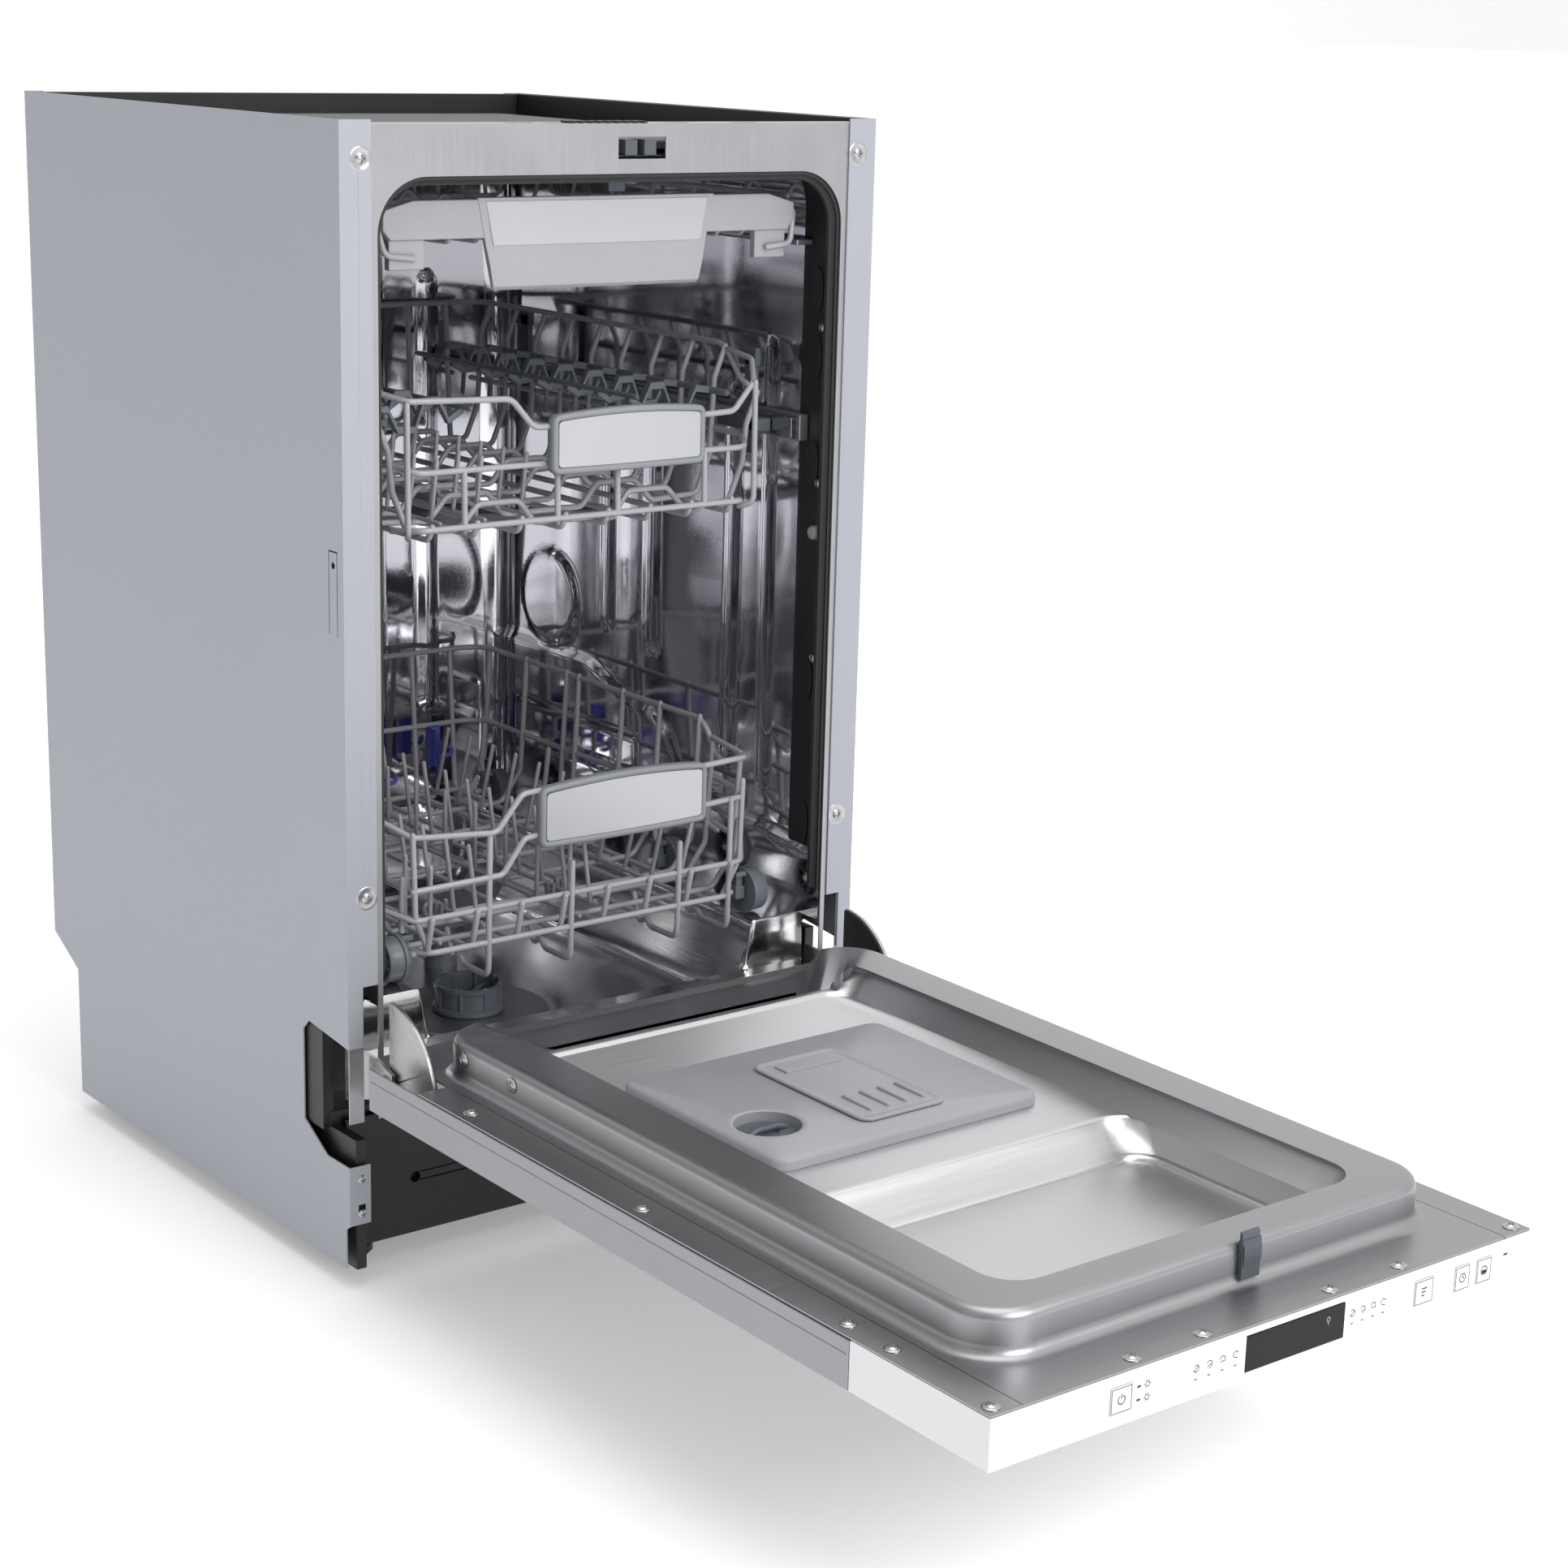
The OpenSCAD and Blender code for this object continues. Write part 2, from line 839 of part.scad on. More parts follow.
// The left and right wheels on one line across the rack.
module wheel_pair(row) {
    color("#6a7580")
        on_both_sides()
            translate([156, wheel_rows[row], wheel_z])
                rotate([0, 90, 0])
                    wheel();
}

module wheels_1() {
    wheel_pair(0);
}

module wheels_2() {
    wheel_pair(1);
}

module wheels_3() {
    wheel_pair(2);
}

module wheels_4() {
    wheel_pair(3);
}

// ---------------------------------------------------------------- upper rack and tray

module upper_rack() {
    color("#8b8d92") {
        rack(138, 166, up_floor_z, [580, 644], 8, 10);
        on_both_sides()
            for (y = [60, 370])
                block([150, y, runner_z - 5], [180.5, y + 50, runner_z + 5]);
        // short tines on three of the floor wires
        for (i = [2, 4, 5])
            for (y = spread(rack_front + 40, rack_back - 40, 9)) {
                x = spread(-130, 130, 8)[i];
                wire([x, y, up_floor_z], [x, y - 8, up_floor_z + 42], 3.2);
            }
    }
}

module upper_rack_handle() {
    color("#777b81")
        rack_handle(134, 590, 46, rack_front - 15.6);
}

// A slatted shelf that hangs from the rack's side and folds up against it.
module cup_shelf(s) {
    z = 610;
    low = min(s * 66, s * 148);
    color("#6f757c")
        difference() {
            block([low, 80, z - 2], [low + 82, 400, z + 2]);
            for (k = [0 : 7])
                block([low + 12, 92 + k * 38, z - 5], [low + 70, 116 + k * 38, z + 5]);
        }
    color("#6f757c")
        peg([s * 148, 74, z], "y", 332, 2.6);
}

module cup_shelf_left() {
    cup_shelf(-1);
}

module cup_shelf_right() {
    cup_shelf(1);
}

module upper_spray_tube() {
    color("#8f9296") {
        block([-9, arm_y - 12, up_floor_z - 11.5], [9, 447, up_floor_z - 3.4]);
        peg([0, arm_y, up_floor_z - 30], "z", 20, 5);
    }
}

module upper_spray_arm() {
    color("#8f9296")
        difference() {
            translate([0, arm_y, up_floor_z - 27])
                rotate(-25)
                    spray_blades(136, 9);
            peg([0, arm_y, up_floor_z - 40], "z", 40, 5.05);
        }
}

// Rails fixed to the tub's side walls, for the upper rack and the cutlery tray.
module wall_rails() {
    color("#a8aaad")
        on_both_sides() {
            block([187.6, 34, runner_z - 10], [195.6, 430, runner_z + 10]);
            block([180, 34, tray_z - 6], [195.6, 430, tray_z - 2]);
        }
}

// The middle members of the telescopic runners.
module rack_runners() {
    color("#c2c4c6")
        on_both_sides()
            block([181, 36, runner_z - 8], [187.2, 436, runner_z + 8]);
}

module cutlery_tray() {
    color("#8b8d92") {
        for (x = spread(-160, 160, 13))
            wire([x, rack_front, tray_z + 3], [x, rack_back - 10, tray_z + 3], 3.6);
        for (y = spread(rack_front + 6, rack_back - 16, 7))
            wire([-172, y, tray_z + 5.6], [172, y, tray_z + 5.6], 3.6);
        wire_path([
            [-176, rack_front, tray_z + 30], [-176, rack_back - 10, tray_z + 30],
            [176, rack_back - 10, tray_z + 30], [176, rack_front, tray_z + 30],
        ]);
        for (s = sides)
            for (y = spread(rack_front + 6, rack_back - 16, 7))
                wire([s * 171, y, tray_z + 4.6], [s * 176, y, tray_z + 30], 3.6);
    }
}

// A wide bar across the tray, with a tapered grip below its middle.
module cutlery_tray_handle() {
    y0 = rack_front - 15;
    color("#b5b7ba") {
        block([-174, y0 + 3, tray_z + 6], [174, y0 + 12.4, tray_z + 33]);
        front_cut(y0, y0 + 8)
            polygon([
                [-100, tray_z + 34], [100, tray_z + 34],
                [86, tray_z - 30], [-86, tray_z - 30],
            ]);
    }
}

base_tray();
foot_front_left();
foot_front_right();
foot_rear();
toe_plate();
side_panel_left();
side_panel_right();
front_frame();
cabinet_screws();
sound_mat();
tub_wrapper();
tub_back();
tub_floor();
gasket();
latch_strike();
hinge_brackets();
sump();
wash_pump();
drain_pump();
softener();
inlet_valve();
cable_gland();
spray_feed_pipe();
filter_mesh();
filter_cylinder();
salt_cap();
lower_spray_arm();
wall_rails();
rack_runners();
door_liner();
door_skin();
control_panel();
display_window();
button_power();
button_programme();
button_delay();
button_half_load();
latch_tongue();
dispenser();
detergent_lid();
rinse_cap();
hinge_levers();
door_screws();
lower_rack();
lower_rack_handle();
plate_tines_left();
plate_tines_right();
tine_clips();
wheels_1();
wheels_2();
wheels_3();
wheels_4();
upper_rack();
upper_rack_handle();
cup_shelf_left();
cup_shelf_right();
upper_spray_tube();
upper_spray_arm();
cutlery_tray();
cutlery_tray_handle();
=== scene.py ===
import math

import bmesh
import bpy
from mathutils import Matrix, Vector


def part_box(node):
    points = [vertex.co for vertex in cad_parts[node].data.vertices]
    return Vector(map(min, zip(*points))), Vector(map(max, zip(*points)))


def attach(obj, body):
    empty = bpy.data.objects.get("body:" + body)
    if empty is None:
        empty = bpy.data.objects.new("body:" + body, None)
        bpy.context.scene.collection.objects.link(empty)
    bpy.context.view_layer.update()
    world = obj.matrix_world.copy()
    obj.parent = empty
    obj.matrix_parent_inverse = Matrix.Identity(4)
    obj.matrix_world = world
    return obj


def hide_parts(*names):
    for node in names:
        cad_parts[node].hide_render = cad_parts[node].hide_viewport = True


# A slimline built-in dishwasher, door open, built round its CAD frame.
# Shapes are made in millimetres in the CAD frame and become metres in Shape.make().

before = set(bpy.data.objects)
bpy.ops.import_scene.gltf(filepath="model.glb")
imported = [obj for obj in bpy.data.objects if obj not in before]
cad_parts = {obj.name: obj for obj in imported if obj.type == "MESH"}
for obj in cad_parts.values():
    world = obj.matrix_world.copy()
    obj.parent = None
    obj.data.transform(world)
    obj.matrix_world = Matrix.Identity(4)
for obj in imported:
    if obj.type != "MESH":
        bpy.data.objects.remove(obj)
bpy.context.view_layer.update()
MM = 0.001
SIDES = (-1, 1)


def span(node):
    """The low and high corners of a CAD node, in millimetres."""
    low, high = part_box(node)
    return Vector(low) / MM, Vector(high) / MM


def spread(low, high, count):
    """Evenly spaced values, both ends included."""
    return [low + (high - low) * i / (count - 1) for i in range(count)]


def across(half_path):
    """A path from the left side to the middle, continued by its mirror image."""
    return half_path + [(-x, y, z) for x, y, z in reversed(half_path)]


def flat_loop(points, z):
    """(x, y) points lifted to a height."""
    return [(x, y, z) for x, y in points]


def around(count):
    """Evenly spaced angles, once round a circle."""
    return [2 * math.pi * k / count for k in range(count)]


def smooth(t):
    """A soft step from 0 to 1 as t goes from 0 to 1."""
    t = min(max(t, 0.0), 1.0)
    return t * t * (3 - 2 * t)


def bend_path(points, bend, closed=False, steps=5):
    """The points with each corner turned into an arc of about that radius."""
    pts = [Vector(p) for p in points]
    count = len(pts)
    corners = range(count) if closed else range(1, count - 1)
    out = [] if closed else [pts[0]]
    for i in corners:
        corner = pts[i]
        a = pts[i - 1] - corner
        b = pts[(i + 1) % count] - corner
        angle = a.angle(b)
        if angle > math.pi - 0.02:
            out.append(corner)
            continue
        reach = min(bend / math.tan(angle / 2), 0.45 * a.length, 0.45 * b.length)
        start = corner + a.normalized() * reach
        end = corner + b.normalized() * reach
        for k in range(steps + 1):
            t = k / steps
            out.append(start * (1 - t) ** 2 + corner * 2 * t * (1 - t) + end * t * t)
    if not closed:
        out.append(pts[-1])
    return out


def round_loop(x0, x1, y0, y1, r, corner_steps=8, side_steps=6):
    """A rectangle with rounded corners as (x, y) points, anticlockwise."""
    centres = [(x1 - r, y0 + r, -90), (x1 - r, y1 - r, 0), (x0 + r, y1 - r, 90), (x0 + r, y0 + r, 180)]
    points = []
    for k, (cx, cy, start) in enumerate(centres):
        arc = []
        for i in range(corner_steps + 1):
            a = math.radians(start + 90 * i / corner_steps)
            arc.append((cx + r * math.cos(a), cy + r * math.sin(a)))
        points += arc
        nx, ny, turn = centres[(k + 1) % 4]
        a = math.radians(turn)
        last = arc[-1]
        after = (nx + r * math.cos(a), ny + r * math.sin(a))
        for i in range(1, side_steps):
            t = i / side_steps
            points.append((last[0] + (after[0] - last[0]) * t, last[1] + (after[1] - last[1]) * t))
    return points


def frame_along(axis):
    """A turn that takes +Z to the named direction."""
    turns = {
        "z": (0, "X"),
        "-z": (180, "X"),
        "x": (90, "Y"),
        "-x": (-90, "Y"),
        "y": (-90, "X"),
        "-y": (90, "X"),
    }
    angle, about = turns[axis]
    return Matrix.Rotation(math.radians(angle), 3, about)


def outward(s):
    """The name of the direction that points away from the middle on side s."""
    return "x" if s > 0 else "-x"


def inward(s):
    return outward(-s)


class Shape:
    """Gathers faces in millimetres, then becomes one Blender object."""

    def __init__(self):
        self.verts = []
        self.faces = []

    def add(self, verts, faces):
        first = len(self.verts)
        self.verts += [tuple(v) for v in verts]
        self.faces += [tuple(first + i for i in f) for f in faces]

    def rings(self, loops, start=True, end=True):
        """Skins successive loops of equal length, and caps the first and last."""
        n = len(loops[0])
        verts = [p for loop in loops for p in loop]
        faces = []
        for k in range(len(loops) - 1):
            for i in range(n):
                j = (i + 1) % n
                faces.append((k * n + i, k * n + j, (k + 1) * n + j, (k + 1) * n + i))
        if start:
            faces.append(tuple(reversed(range(n))))
        if end:
            faces.append(tuple(range((len(loops) - 1) * n, len(loops) * n)))
        self.add(verts, faces)

    def tube(self, points, r, bend=9, sides=10, closed=False):
        """A round wire along the points, with domed ends."""
        path = bend_path(points, bend, closed)
        count = len(path)
        loops = []
        side = None
        for i, p in enumerate(path):
            before = path[i - 1] if i or closed else path[0]
            after = path[(i + 1) % count] if i < count - 1 or closed else path[-1]
            along = (after - before).normalized()
            if closed:
                side = along.cross(Vector((0, 0, 1))).normalized()
            elif side is None:
                pick = Vector((0, 0, 1)) if abs(along.z) < 0.9 else Vector((1, 0, 0))
                side = along.cross(pick).normalized()
            else:
                side = (side - along * side.dot(along)).normalized()
            up = side.cross(along)
            dome = [(0.9, 0.35), (0.6, 0.8)]
            sections = [(0, 1)]
            if i == 0 and not closed:
                sections = [(-out, size) for out, size in dome] + sections
            if i == count - 1 and not closed:
                sections += reversed(dome)
            for out, size in sections:
                middle = p + along * r * out
                loops.append([middle + (side * math.cos(a) + up * math.sin(a)) * r * size
                              for a in around(sides)])
        if closed:
            loops.append(loops[0])
        self.rings(loops, not closed, not closed)

    def box(self, low, high):
        (x0, y0, z0), (x1, y1, z1) = low, high
        verts = [(x, y, z) for z in (z0, z1) for y in (y0, y1) for x in (x0, x1)]
        self.add(verts, [(0, 2, 3, 1), (4, 5, 7, 6), (0, 1, 5, 4), (2, 6, 7, 3), (0, 4, 6, 2), (1, 3, 7, 5)])

    def side_box(self, s, x, y, z):
        """A box on side s, from (low, high) pairs, with x measured outwards from the middle."""
        (x0, x1), (y0, y1), (z0, z1) = sorted(s * v for v in x), y, z
        self.box((x0, y0, z0), (x1, y1, z1))

    def prism(self, outline, at, axis, depth):
        """A closed outline of (u, v) points at a place, pushed along an axis."""
        turn = frame_along(axis)
        base = Vector(at)
        loops = [[base + turn @ Vector((u, v, w)) for u, v in outline] for w in (0, depth)]
        self.rings(loops)

    def lathe(self, profile, at, axis="z", sides=40, wave=None):
        """A (radius, height) profile turned about an axis through a place."""
        turn = frame_along(axis)
        base = Vector(at)
        loops = []
        for r, h in profile:
            loop = []
            for a in around(sides):
                q = r * (wave(a) if wave else 1)
                loop.append(base + turn @ Vector((q * math.cos(a), q * math.sin(a), h)))
            loops.append(loop)
        self.rings(loops)

    def grid(self, place, us, vs):
        """An open surface: place(u, v) is a point in millimetres."""
        verts = [place(u, v) for v in vs for u in us]
        n = len(us)
        faces = [
            (j * n + i, j * n + i + 1, (j + 1) * n + i + 1, (j + 1) * n + i)
            for j in range(len(vs) - 1)
            for i in range(n - 1)
        ]
        self.add(verts, faces)

    def make(self, name, body, material, stands_for=(), bevel=0.0, soft=38):
        """One smooth-shaded object that rides on a body, and may stand for CAD nodes."""
        mesh = bpy.data.meshes.new(name)
        mesh.from_pydata([Vector(v) * MM for v in self.verts], [], self.faces)
        mesh.materials.append(material)
        mesh.validate()
        outward = bmesh.new()
        outward.from_mesh(mesh)
        bmesh.ops.recalc_face_normals(outward, faces=outward.faces)
        outward.to_mesh(mesh)
        outward.free()
        obj = bpy.data.objects.new(name, mesh)
        bpy.context.scene.collection.objects.link(obj)
        mesh.shade_smooth()
        mesh.set_sharp_from_angle(angle=math.radians(soft))
        if bevel:
            soften(obj, bevel)
        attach(obj, body)
        if stands_for:
            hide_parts(*stands_for)
        return obj


def soften(obj, width):
    """Small rounded edges, so that corners catch the light."""
    bevel = obj.modifiers.new("edges", "BEVEL")
    bevel.width = width * MM
    bevel.segments = 2
    bevel.limit_method = "ANGLE"
    bevel.angle_limit = math.radians(38)
    bevel.use_clamp_overlap = True
    bevel.harden_normals = True


def finish_node(name, material, edge=0.0):
    """A carried-over CAD node gets its material and, where it helps, softened edges."""
    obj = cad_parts[name]
    for slot in obj.material_slots:
        slot.material = material
    if edge:
        weld = obj.modifiers.new("weld", "WELD")
        weld.merge_threshold = 0.00002
        soften(obj, edge)
        even = obj.modifiers.new("even_shading", "WEIGHTED_NORMAL")
        even.keep_sharp = True
    return obj


# ---- materials

def add_node(tree, kind, **values):
    """A shader node with its inputs set; an underscore in a name stands for a space."""
    node = tree.nodes.new("ShaderNode" + kind)
    for key, value in values.items():
        node.inputs[key.replace("_", " ")].default_value = value
    return node


def surface(name, colour, rough, metal=0.0, vary=0.06, patch=14.0, grain=900.0, bump=0.08,
            rough_vary=0.08, stretch=(1, 1, 1), wave=0.0, coat=0.0):
    """A finish with patchy colour, uneven gloss, fine grain and, for sheet metal, long waves."""
    material = bpy.data.materials.new(name)
    material.use_nodes = True
    tree = material.node_tree
    link = tree.links.new
    shader = tree.nodes["Principled BSDF"]
    shader.inputs["Metallic"].default_value = metal
    shader.inputs["Coat Weight"].default_value = coat
    place = add_node(tree, "TexCoord").outputs["Object"]
    scaled = add_node(tree, "Mapping", Scale=stretch)
    link(place, scaled.inputs["Vector"])

    def noise(scale, source, detail=3.0):
        node = add_node(tree, "TexNoise", Scale=scale, Detail=detail)
        link(source, node.inputs["Vector"])
        return node.outputs["Fac"]

    patches = noise(patch, place)
    fine = noise(grain, scaled.outputs["Vector"])
    blend = add_node(tree, "Math")
    blend.operation = "ADD"
    half = add_node(tree, "Math")
    half.operation = "MULTIPLY"
    half.inputs[1].default_value = 0.5
    link(patches, blend.inputs[0])
    link(fine, blend.inputs[1])
    link(blend.outputs[0], half.inputs[0])
    tones = add_node(tree, "ValToRGB")
    for stop, position, sign in zip(tones.color_ramp.elements, (0.3, 0.7), SIDES):
        stop.position = position
        stop.color = [min(c * (1 + sign * vary), 1) for c in colour] + [1]
    link(half.outputs[0], tones.inputs["Fac"])
    link(tones.outputs["Color"], shader.inputs["Base Color"])
    gloss = add_node(tree, "MapRange", From_Min=0.3, From_Max=0.7, To_Min=max(rough - rough_vary, 0.03),
                     To_Max=min(rough + rough_vary, 1.0))
    link(half.outputs[0], gloss.inputs["Value"])
    link(gloss.outputs["Result"], shader.inputs["Roughness"])
    dents = add_node(tree, "Bump", Strength=bump, Distance=0.0004)
    link(fine, dents.inputs["Height"])
    link(dents.outputs["Normal"], shader.inputs["Normal"])
    if wave:
        swell = add_node(tree, "Bump", Strength=wave, Distance=0.004)
        link(noise(9.0, place, 1.0), swell.inputs["Height"])
        link(swell.outputs["Normal"], dents.inputs["Normal"])
    return material


def set_input(material, name, value):
    material.node_tree.nodes["Principled BSDF"].inputs[name].default_value = value


panel_grey = surface(
    "panel_grey", (0.36, 0.372, 0.41), 0.42, 0.35, vary=0.05, patch=3, grain=1500, bump=0.12,
    rough_vary=0.05)
frame_steel = surface(
    "frame_steel", (0.37, 0.37, 0.385), 0.36, 0.85, vary=0.05, grain=700, stretch=(1, 1, 0.03),
    bump=0.05)
tub_steel = surface(
    "tub_steel", (0.66, 0.66, 0.69), 0.08, 1.0, vary=0.03, patch=6, grain=500, bump=0.02,
    rough_vary=0.05, wave=0.25)
floor_steel = surface(
    "floor_steel", (0.70, 0.69, 0.70), 0.17, 1.0, vary=0.04, patch=8, grain=600, stretch=(1, 0.05, 1),
    bump=0.05, rough_vary=0.07, wave=0.10)
# The door liner is one steel sheet in two copies. This darker copy is painted shade for the flange and rim,
# where the sheet reflects darker surroundings.
liner_steel = surface(
    "liner_steel", (0.35, 0.347, 0.36), 0.36, 1.0, vary=0.03, patch=5, grain=500, stretch=(0.04, 1, 1),
    bump=0.06, rough_vary=0.05)
# The brighter copy of the same liner steel is a painted highlight for the pan, where the sheet reflects the
# bright world light.
pan_steel_painted_highlight = surface(
    "pan_steel_painted_highlight", (0.62, 0.615, 0.63), 0.34, 1.0, vary=0.03, patch=4, grain=500, stretch=(0.04, 1, 1),
    bump=0.05, rough_vary=0.05)
skin_steel = surface(
    "skin_steel", (0.31, 0.31, 0.325), 0.38, 0.9, vary=0.06, patch=10, grain=900, stretch=(1, 0.1, 1),
    bump=0.12, rough_vary=0.06)
black_plastic = surface("black_plastic", (0.012, 0.012, 0.013), 0.42, vary=0.3, grain=1200, bump=0.15)
dark_plastic = surface("dark_plastic", (0.075, 0.085, 0.10), 0.40, vary=0.12, grain=1200, bump=0.12)
grey_plastic = surface("grey_plastic", (0.22, 0.235, 0.255), 0.42, vary=0.08, grain=1100, bump=0.12)
blue_grey = surface("blue_grey_plastic", (0.13, 0.145, 0.165), 0.40, vary=0.10, grain=1100, bump=0.12)
dish_grey = surface("dispenser_plastic", (0.29, 0.29, 0.31), 0.44, vary=0.05, grain=1300, bump=0.12)
silver_plastic = surface(
    "silver_plastic", (0.34, 0.345, 0.36), 0.42, 0.2, vary=0.05, grain=1300, bump=0.10)
plate_metal = surface(
    "handle_plate", (0.47, 0.47, 0.485), 0.34, 0.5, vary=0.02, grain=1600, stretch=(0.05, 1, 1),
    bump=0.02, rough_vary=0.02)
white_plastic = surface(
    "white_plastic", (0.74, 0.74, 0.75), 0.35, vary=0.02, grain=1400, bump=0.06, coat=0.15)
icon_grey = surface("icon_grey", (0.04, 0.04, 0.045), 0.5, vary=0.08, grain=1500, bump=0.02)
black_glass = surface(
    "black_window", (0.006, 0.006, 0.008), 0.16, vary=0.2, grain=300, bump=0.01, rough_vary=0.03)
set_input(black_glass, "Specular IOR Level", 0.2)
rubber = surface("rubber", (0.014, 0.014, 0.015), 0.55, vary=0.25, grain=800, bump=0.25)
felt = surface("felt_mat", (0.14, 0.145, 0.15), 0.92, vary=0.25, patch=60, grain=2200, bump=0.9)
galvanised = surface(
    "galvanised", (0.44, 0.44, 0.43), 0.33, 0.9, vary=0.14, patch=90, grain=300, bump=0.10,
    rough_vary=0.12)
coated_wire = surface(
    "coated_wire", (0.34, 0.335, 0.36), 0.33, vary=0.05, patch=40, grain=900, bump=0.06, coat=0.25)
blue_clip = surface("blue_clip", (0.075, 0.085, 0.42), 0.38, vary=0.10, grain=900, bump=0.08)
pale_plastic = surface("pale_plastic", (0.70, 0.70, 0.68), 0.45, vary=0.04, grain=1200, bump=0.08)
screw_steel = surface(
    "screw_steel", (0.46, 0.46, 0.47), 0.26, 1.0, vary=0.08, patch=200, grain=1500, bump=0.08)
mesh_steel = surface(
    "filter_mesh", (0.40, 0.40, 0.41), 0.35, 1.0, vary=0.35, patch=900, grain=1600, bump=0.8)
studio_floor = surface(
    "studio_floor", (0.86, 0.86, 0.87), 0.9, vary=0.004, patch=0.5, grain=40, bump=0.01)
set_input(studio_floor, "Emission Color", (1, 1, 1, 1))
set_input(studio_floor, "Emission Strength", 0.28)


# ---- shared details

def screw(shape, at, axis, r=4.4, washer=0.0):
    """A domed screw head with a cross recess, on a washer if one is asked for."""
    turn = frame_along(axis)
    base = Vector(at)
    lift = 0.0
    if washer:
        shape.lathe([(washer, 0), (washer, 0.5), (washer - 0.6, 0.9), (r, 0.9)], at, axis, 32)
        lift = 0.6
    angles = around(48)
    loops = [[base + turn @ Vector((r * math.cos(a), r * math.sin(a), 0)) for a in angles]]
    for k in range(11):
        q = r * (1 - k / 10.5)
        loop = []
        for a in angles:
            x, y = q * math.cos(a), q * math.sin(a)
            height = lift + 0.38 * r * (1 - (q / r) ** 2.4) + 0.15
            if min(abs(x), abs(y)) < 0.17 * r and max(abs(x), abs(y)) < 0.56 * r:
                height -= 0.30 * r
            loop.append(base + turn @ Vector((x, y, height)))
        loops.append(loop)
    shape.rings(loops)


def emboss(distance, width):
    """Height from 0 to 1 for a pressed shape, given the signed distance inside its edge."""
    return smooth(distance / width)


def in_slot(u, v, u0, v0, u1, v1, r):
    """Signed distance inside a rounded slot whose middle runs between two points."""
    du, dv = u1 - u0, v1 - v0
    t = min(max(((u - u0) * du + (v - v0) * dv) / (du * du + dv * dv), 0), 1)
    return r - math.hypot(u - u0 - du * t, v - v0 - dv * t)


def in_rect(u, v, u0, u1, v0, v1, r):
    """Signed distance inside a rectangle with rounded corners."""
    a = abs(u - (u0 + u1) / 2) - (u1 - u0) / 2 + r
    b = abs(v - (v0 + v1) / 2) - (v1 - v0) / 2 + r
    return r - math.hypot(max(a, 0), max(b, 0)) - min(max(a, b), 0)


# ---- cabinet

cabinet_finishes = {
    panel_grey: {"side_panel_left": 0.4, "side_panel_right": 0.4},
    frame_steel: {"front_frame": 0, "wall_rails": 1.0},
    felt: {"sound_mat": 1.5},
    black_plastic: {"toe_plate": 0.6, "base_tray": 0.8, "foot_front_left": 0.8, "foot_front_right": 0.8,
                    "foot_rear": 0.8, "drain_pump": 0.8, "cable_gland": 0.5},
    galvanised: {"hinge_brackets": 0.5},
    dark_plastic: {"latch_strike": 0.8},
    pale_plastic: {"sump": 1.0, "softener": 2.0, "inlet_valve": 0.8},
    grey_plastic: {"wash_pump": 1.2, "spray_feed_pipe": 2.0},
    screw_steel: {"rack_runners": 0.8},
}
for material, edges in cabinet_finishes.items():
    for node, edge in edges.items():
        finish_node(node, material, edge)

panel_high = span("side_panel_right")[1]
top = panel_high.z
depth = panel_high.y

# Front screws on their embossed spots, and the two on each lower tab.
screws = Shape()
screw_low, screw_high = span("cabinet_screws")
for s in SIDES:
    for z in (screw_low.z + 5, screw_high.z - 5):
        screws.lathe([(8.4, 0), (7.8, 0.3), (6.9, 0.3), (6.4, 0.1)], (s * 208, 0, z), "-y", 40)
        screw(screws, (s * 208, -0.1, z), "-y", 4.1)
    for z in (84, 58):
        screw(screws, (s * 214, 0, z), "-y", 3.2)
screws.make("cabinet_screw_set", "cabinet", screw_steel, ["cabinet_screws"])

# Black strips inside the top edge, partly trims and partly painted shade where the inner faces fall dark, and
# the ribs of the vent beside the mat.
trims_and_shade = Shape()
for s in SIDES:
    trims_and_shade.side_box(s, (219.4, 222.6), (14, depth - 4), (790, top - 0.6))
    trims_and_shade.side_box(s, (194, 222), (27, depth - 6), (786, 789))
trims_and_shade.box((-219, depth - 6, 740), (219, depth - 2.5, top - 0.6))
for x in spread(-40, 20, 9):
    trims_and_shade.box((x, 5, 812.1), (x + 3, 20, 813.4))
trims_and_shade.make("top_trims_and_painted_shade", "cabinet", black_plastic, bevel=0.5)


# ---- tub

tub_high = span("tub_wrapper")[1]
floor_low, floor_high = span("tub_floor")
gasket_low, gasket_high = span("gasket")
shelf_z = floor_high.z
basin_z = floor_low.z + 1.5
tub_half = tub_high.x - 1
tub_top = tub_high.z - 1
back_y = tub_high.y
basin_half = 149
sill_z = 168
mouth_half = gasket_high.x - 2.4
mouth_top = gasket_high.z - 4


def arch(half_width, low_z, high_z, r, wall_step=4.0):
    """Points up one side, over the top and down the other, with outward directions."""
    points = []
    wall = max(2, int((high_z - r - low_z) / wall_step))
    for i in range(wall + 1):
        points.append((half_width, low_z + (high_z - r - low_z) * i / wall, 1, 0))
    for i in range(1, 12):
        a = math.radians(90 * i / 12)
        points.append((half_width - r + r * math.cos(a), high_z - r + r * math.sin(a),
                       math.cos(a), math.sin(a)))
    flat = half_width - r
    for i in range(25):
        points.append((flat - 2 * flat * i / 24, high_z, 0, 1))
    return points + [(-x, z, -nx, nz) for x, z, nx, nz in reversed(points[:-25])]


def step_line(y):
    """Height of the slanting step pressed into the side walls."""
    corners = [(0, 262), (110, 270), (182, 284), (212, 318), (238, 331), (345, 357), (470, 357)]
    for (y0, z0), (y1, z1) in zip(corners, corners[1:]):
        if y <= y1:
            return z0 + (z1 - z0) * smooth((y - y0) / (y1 - y0))
    return corners[-1][1]


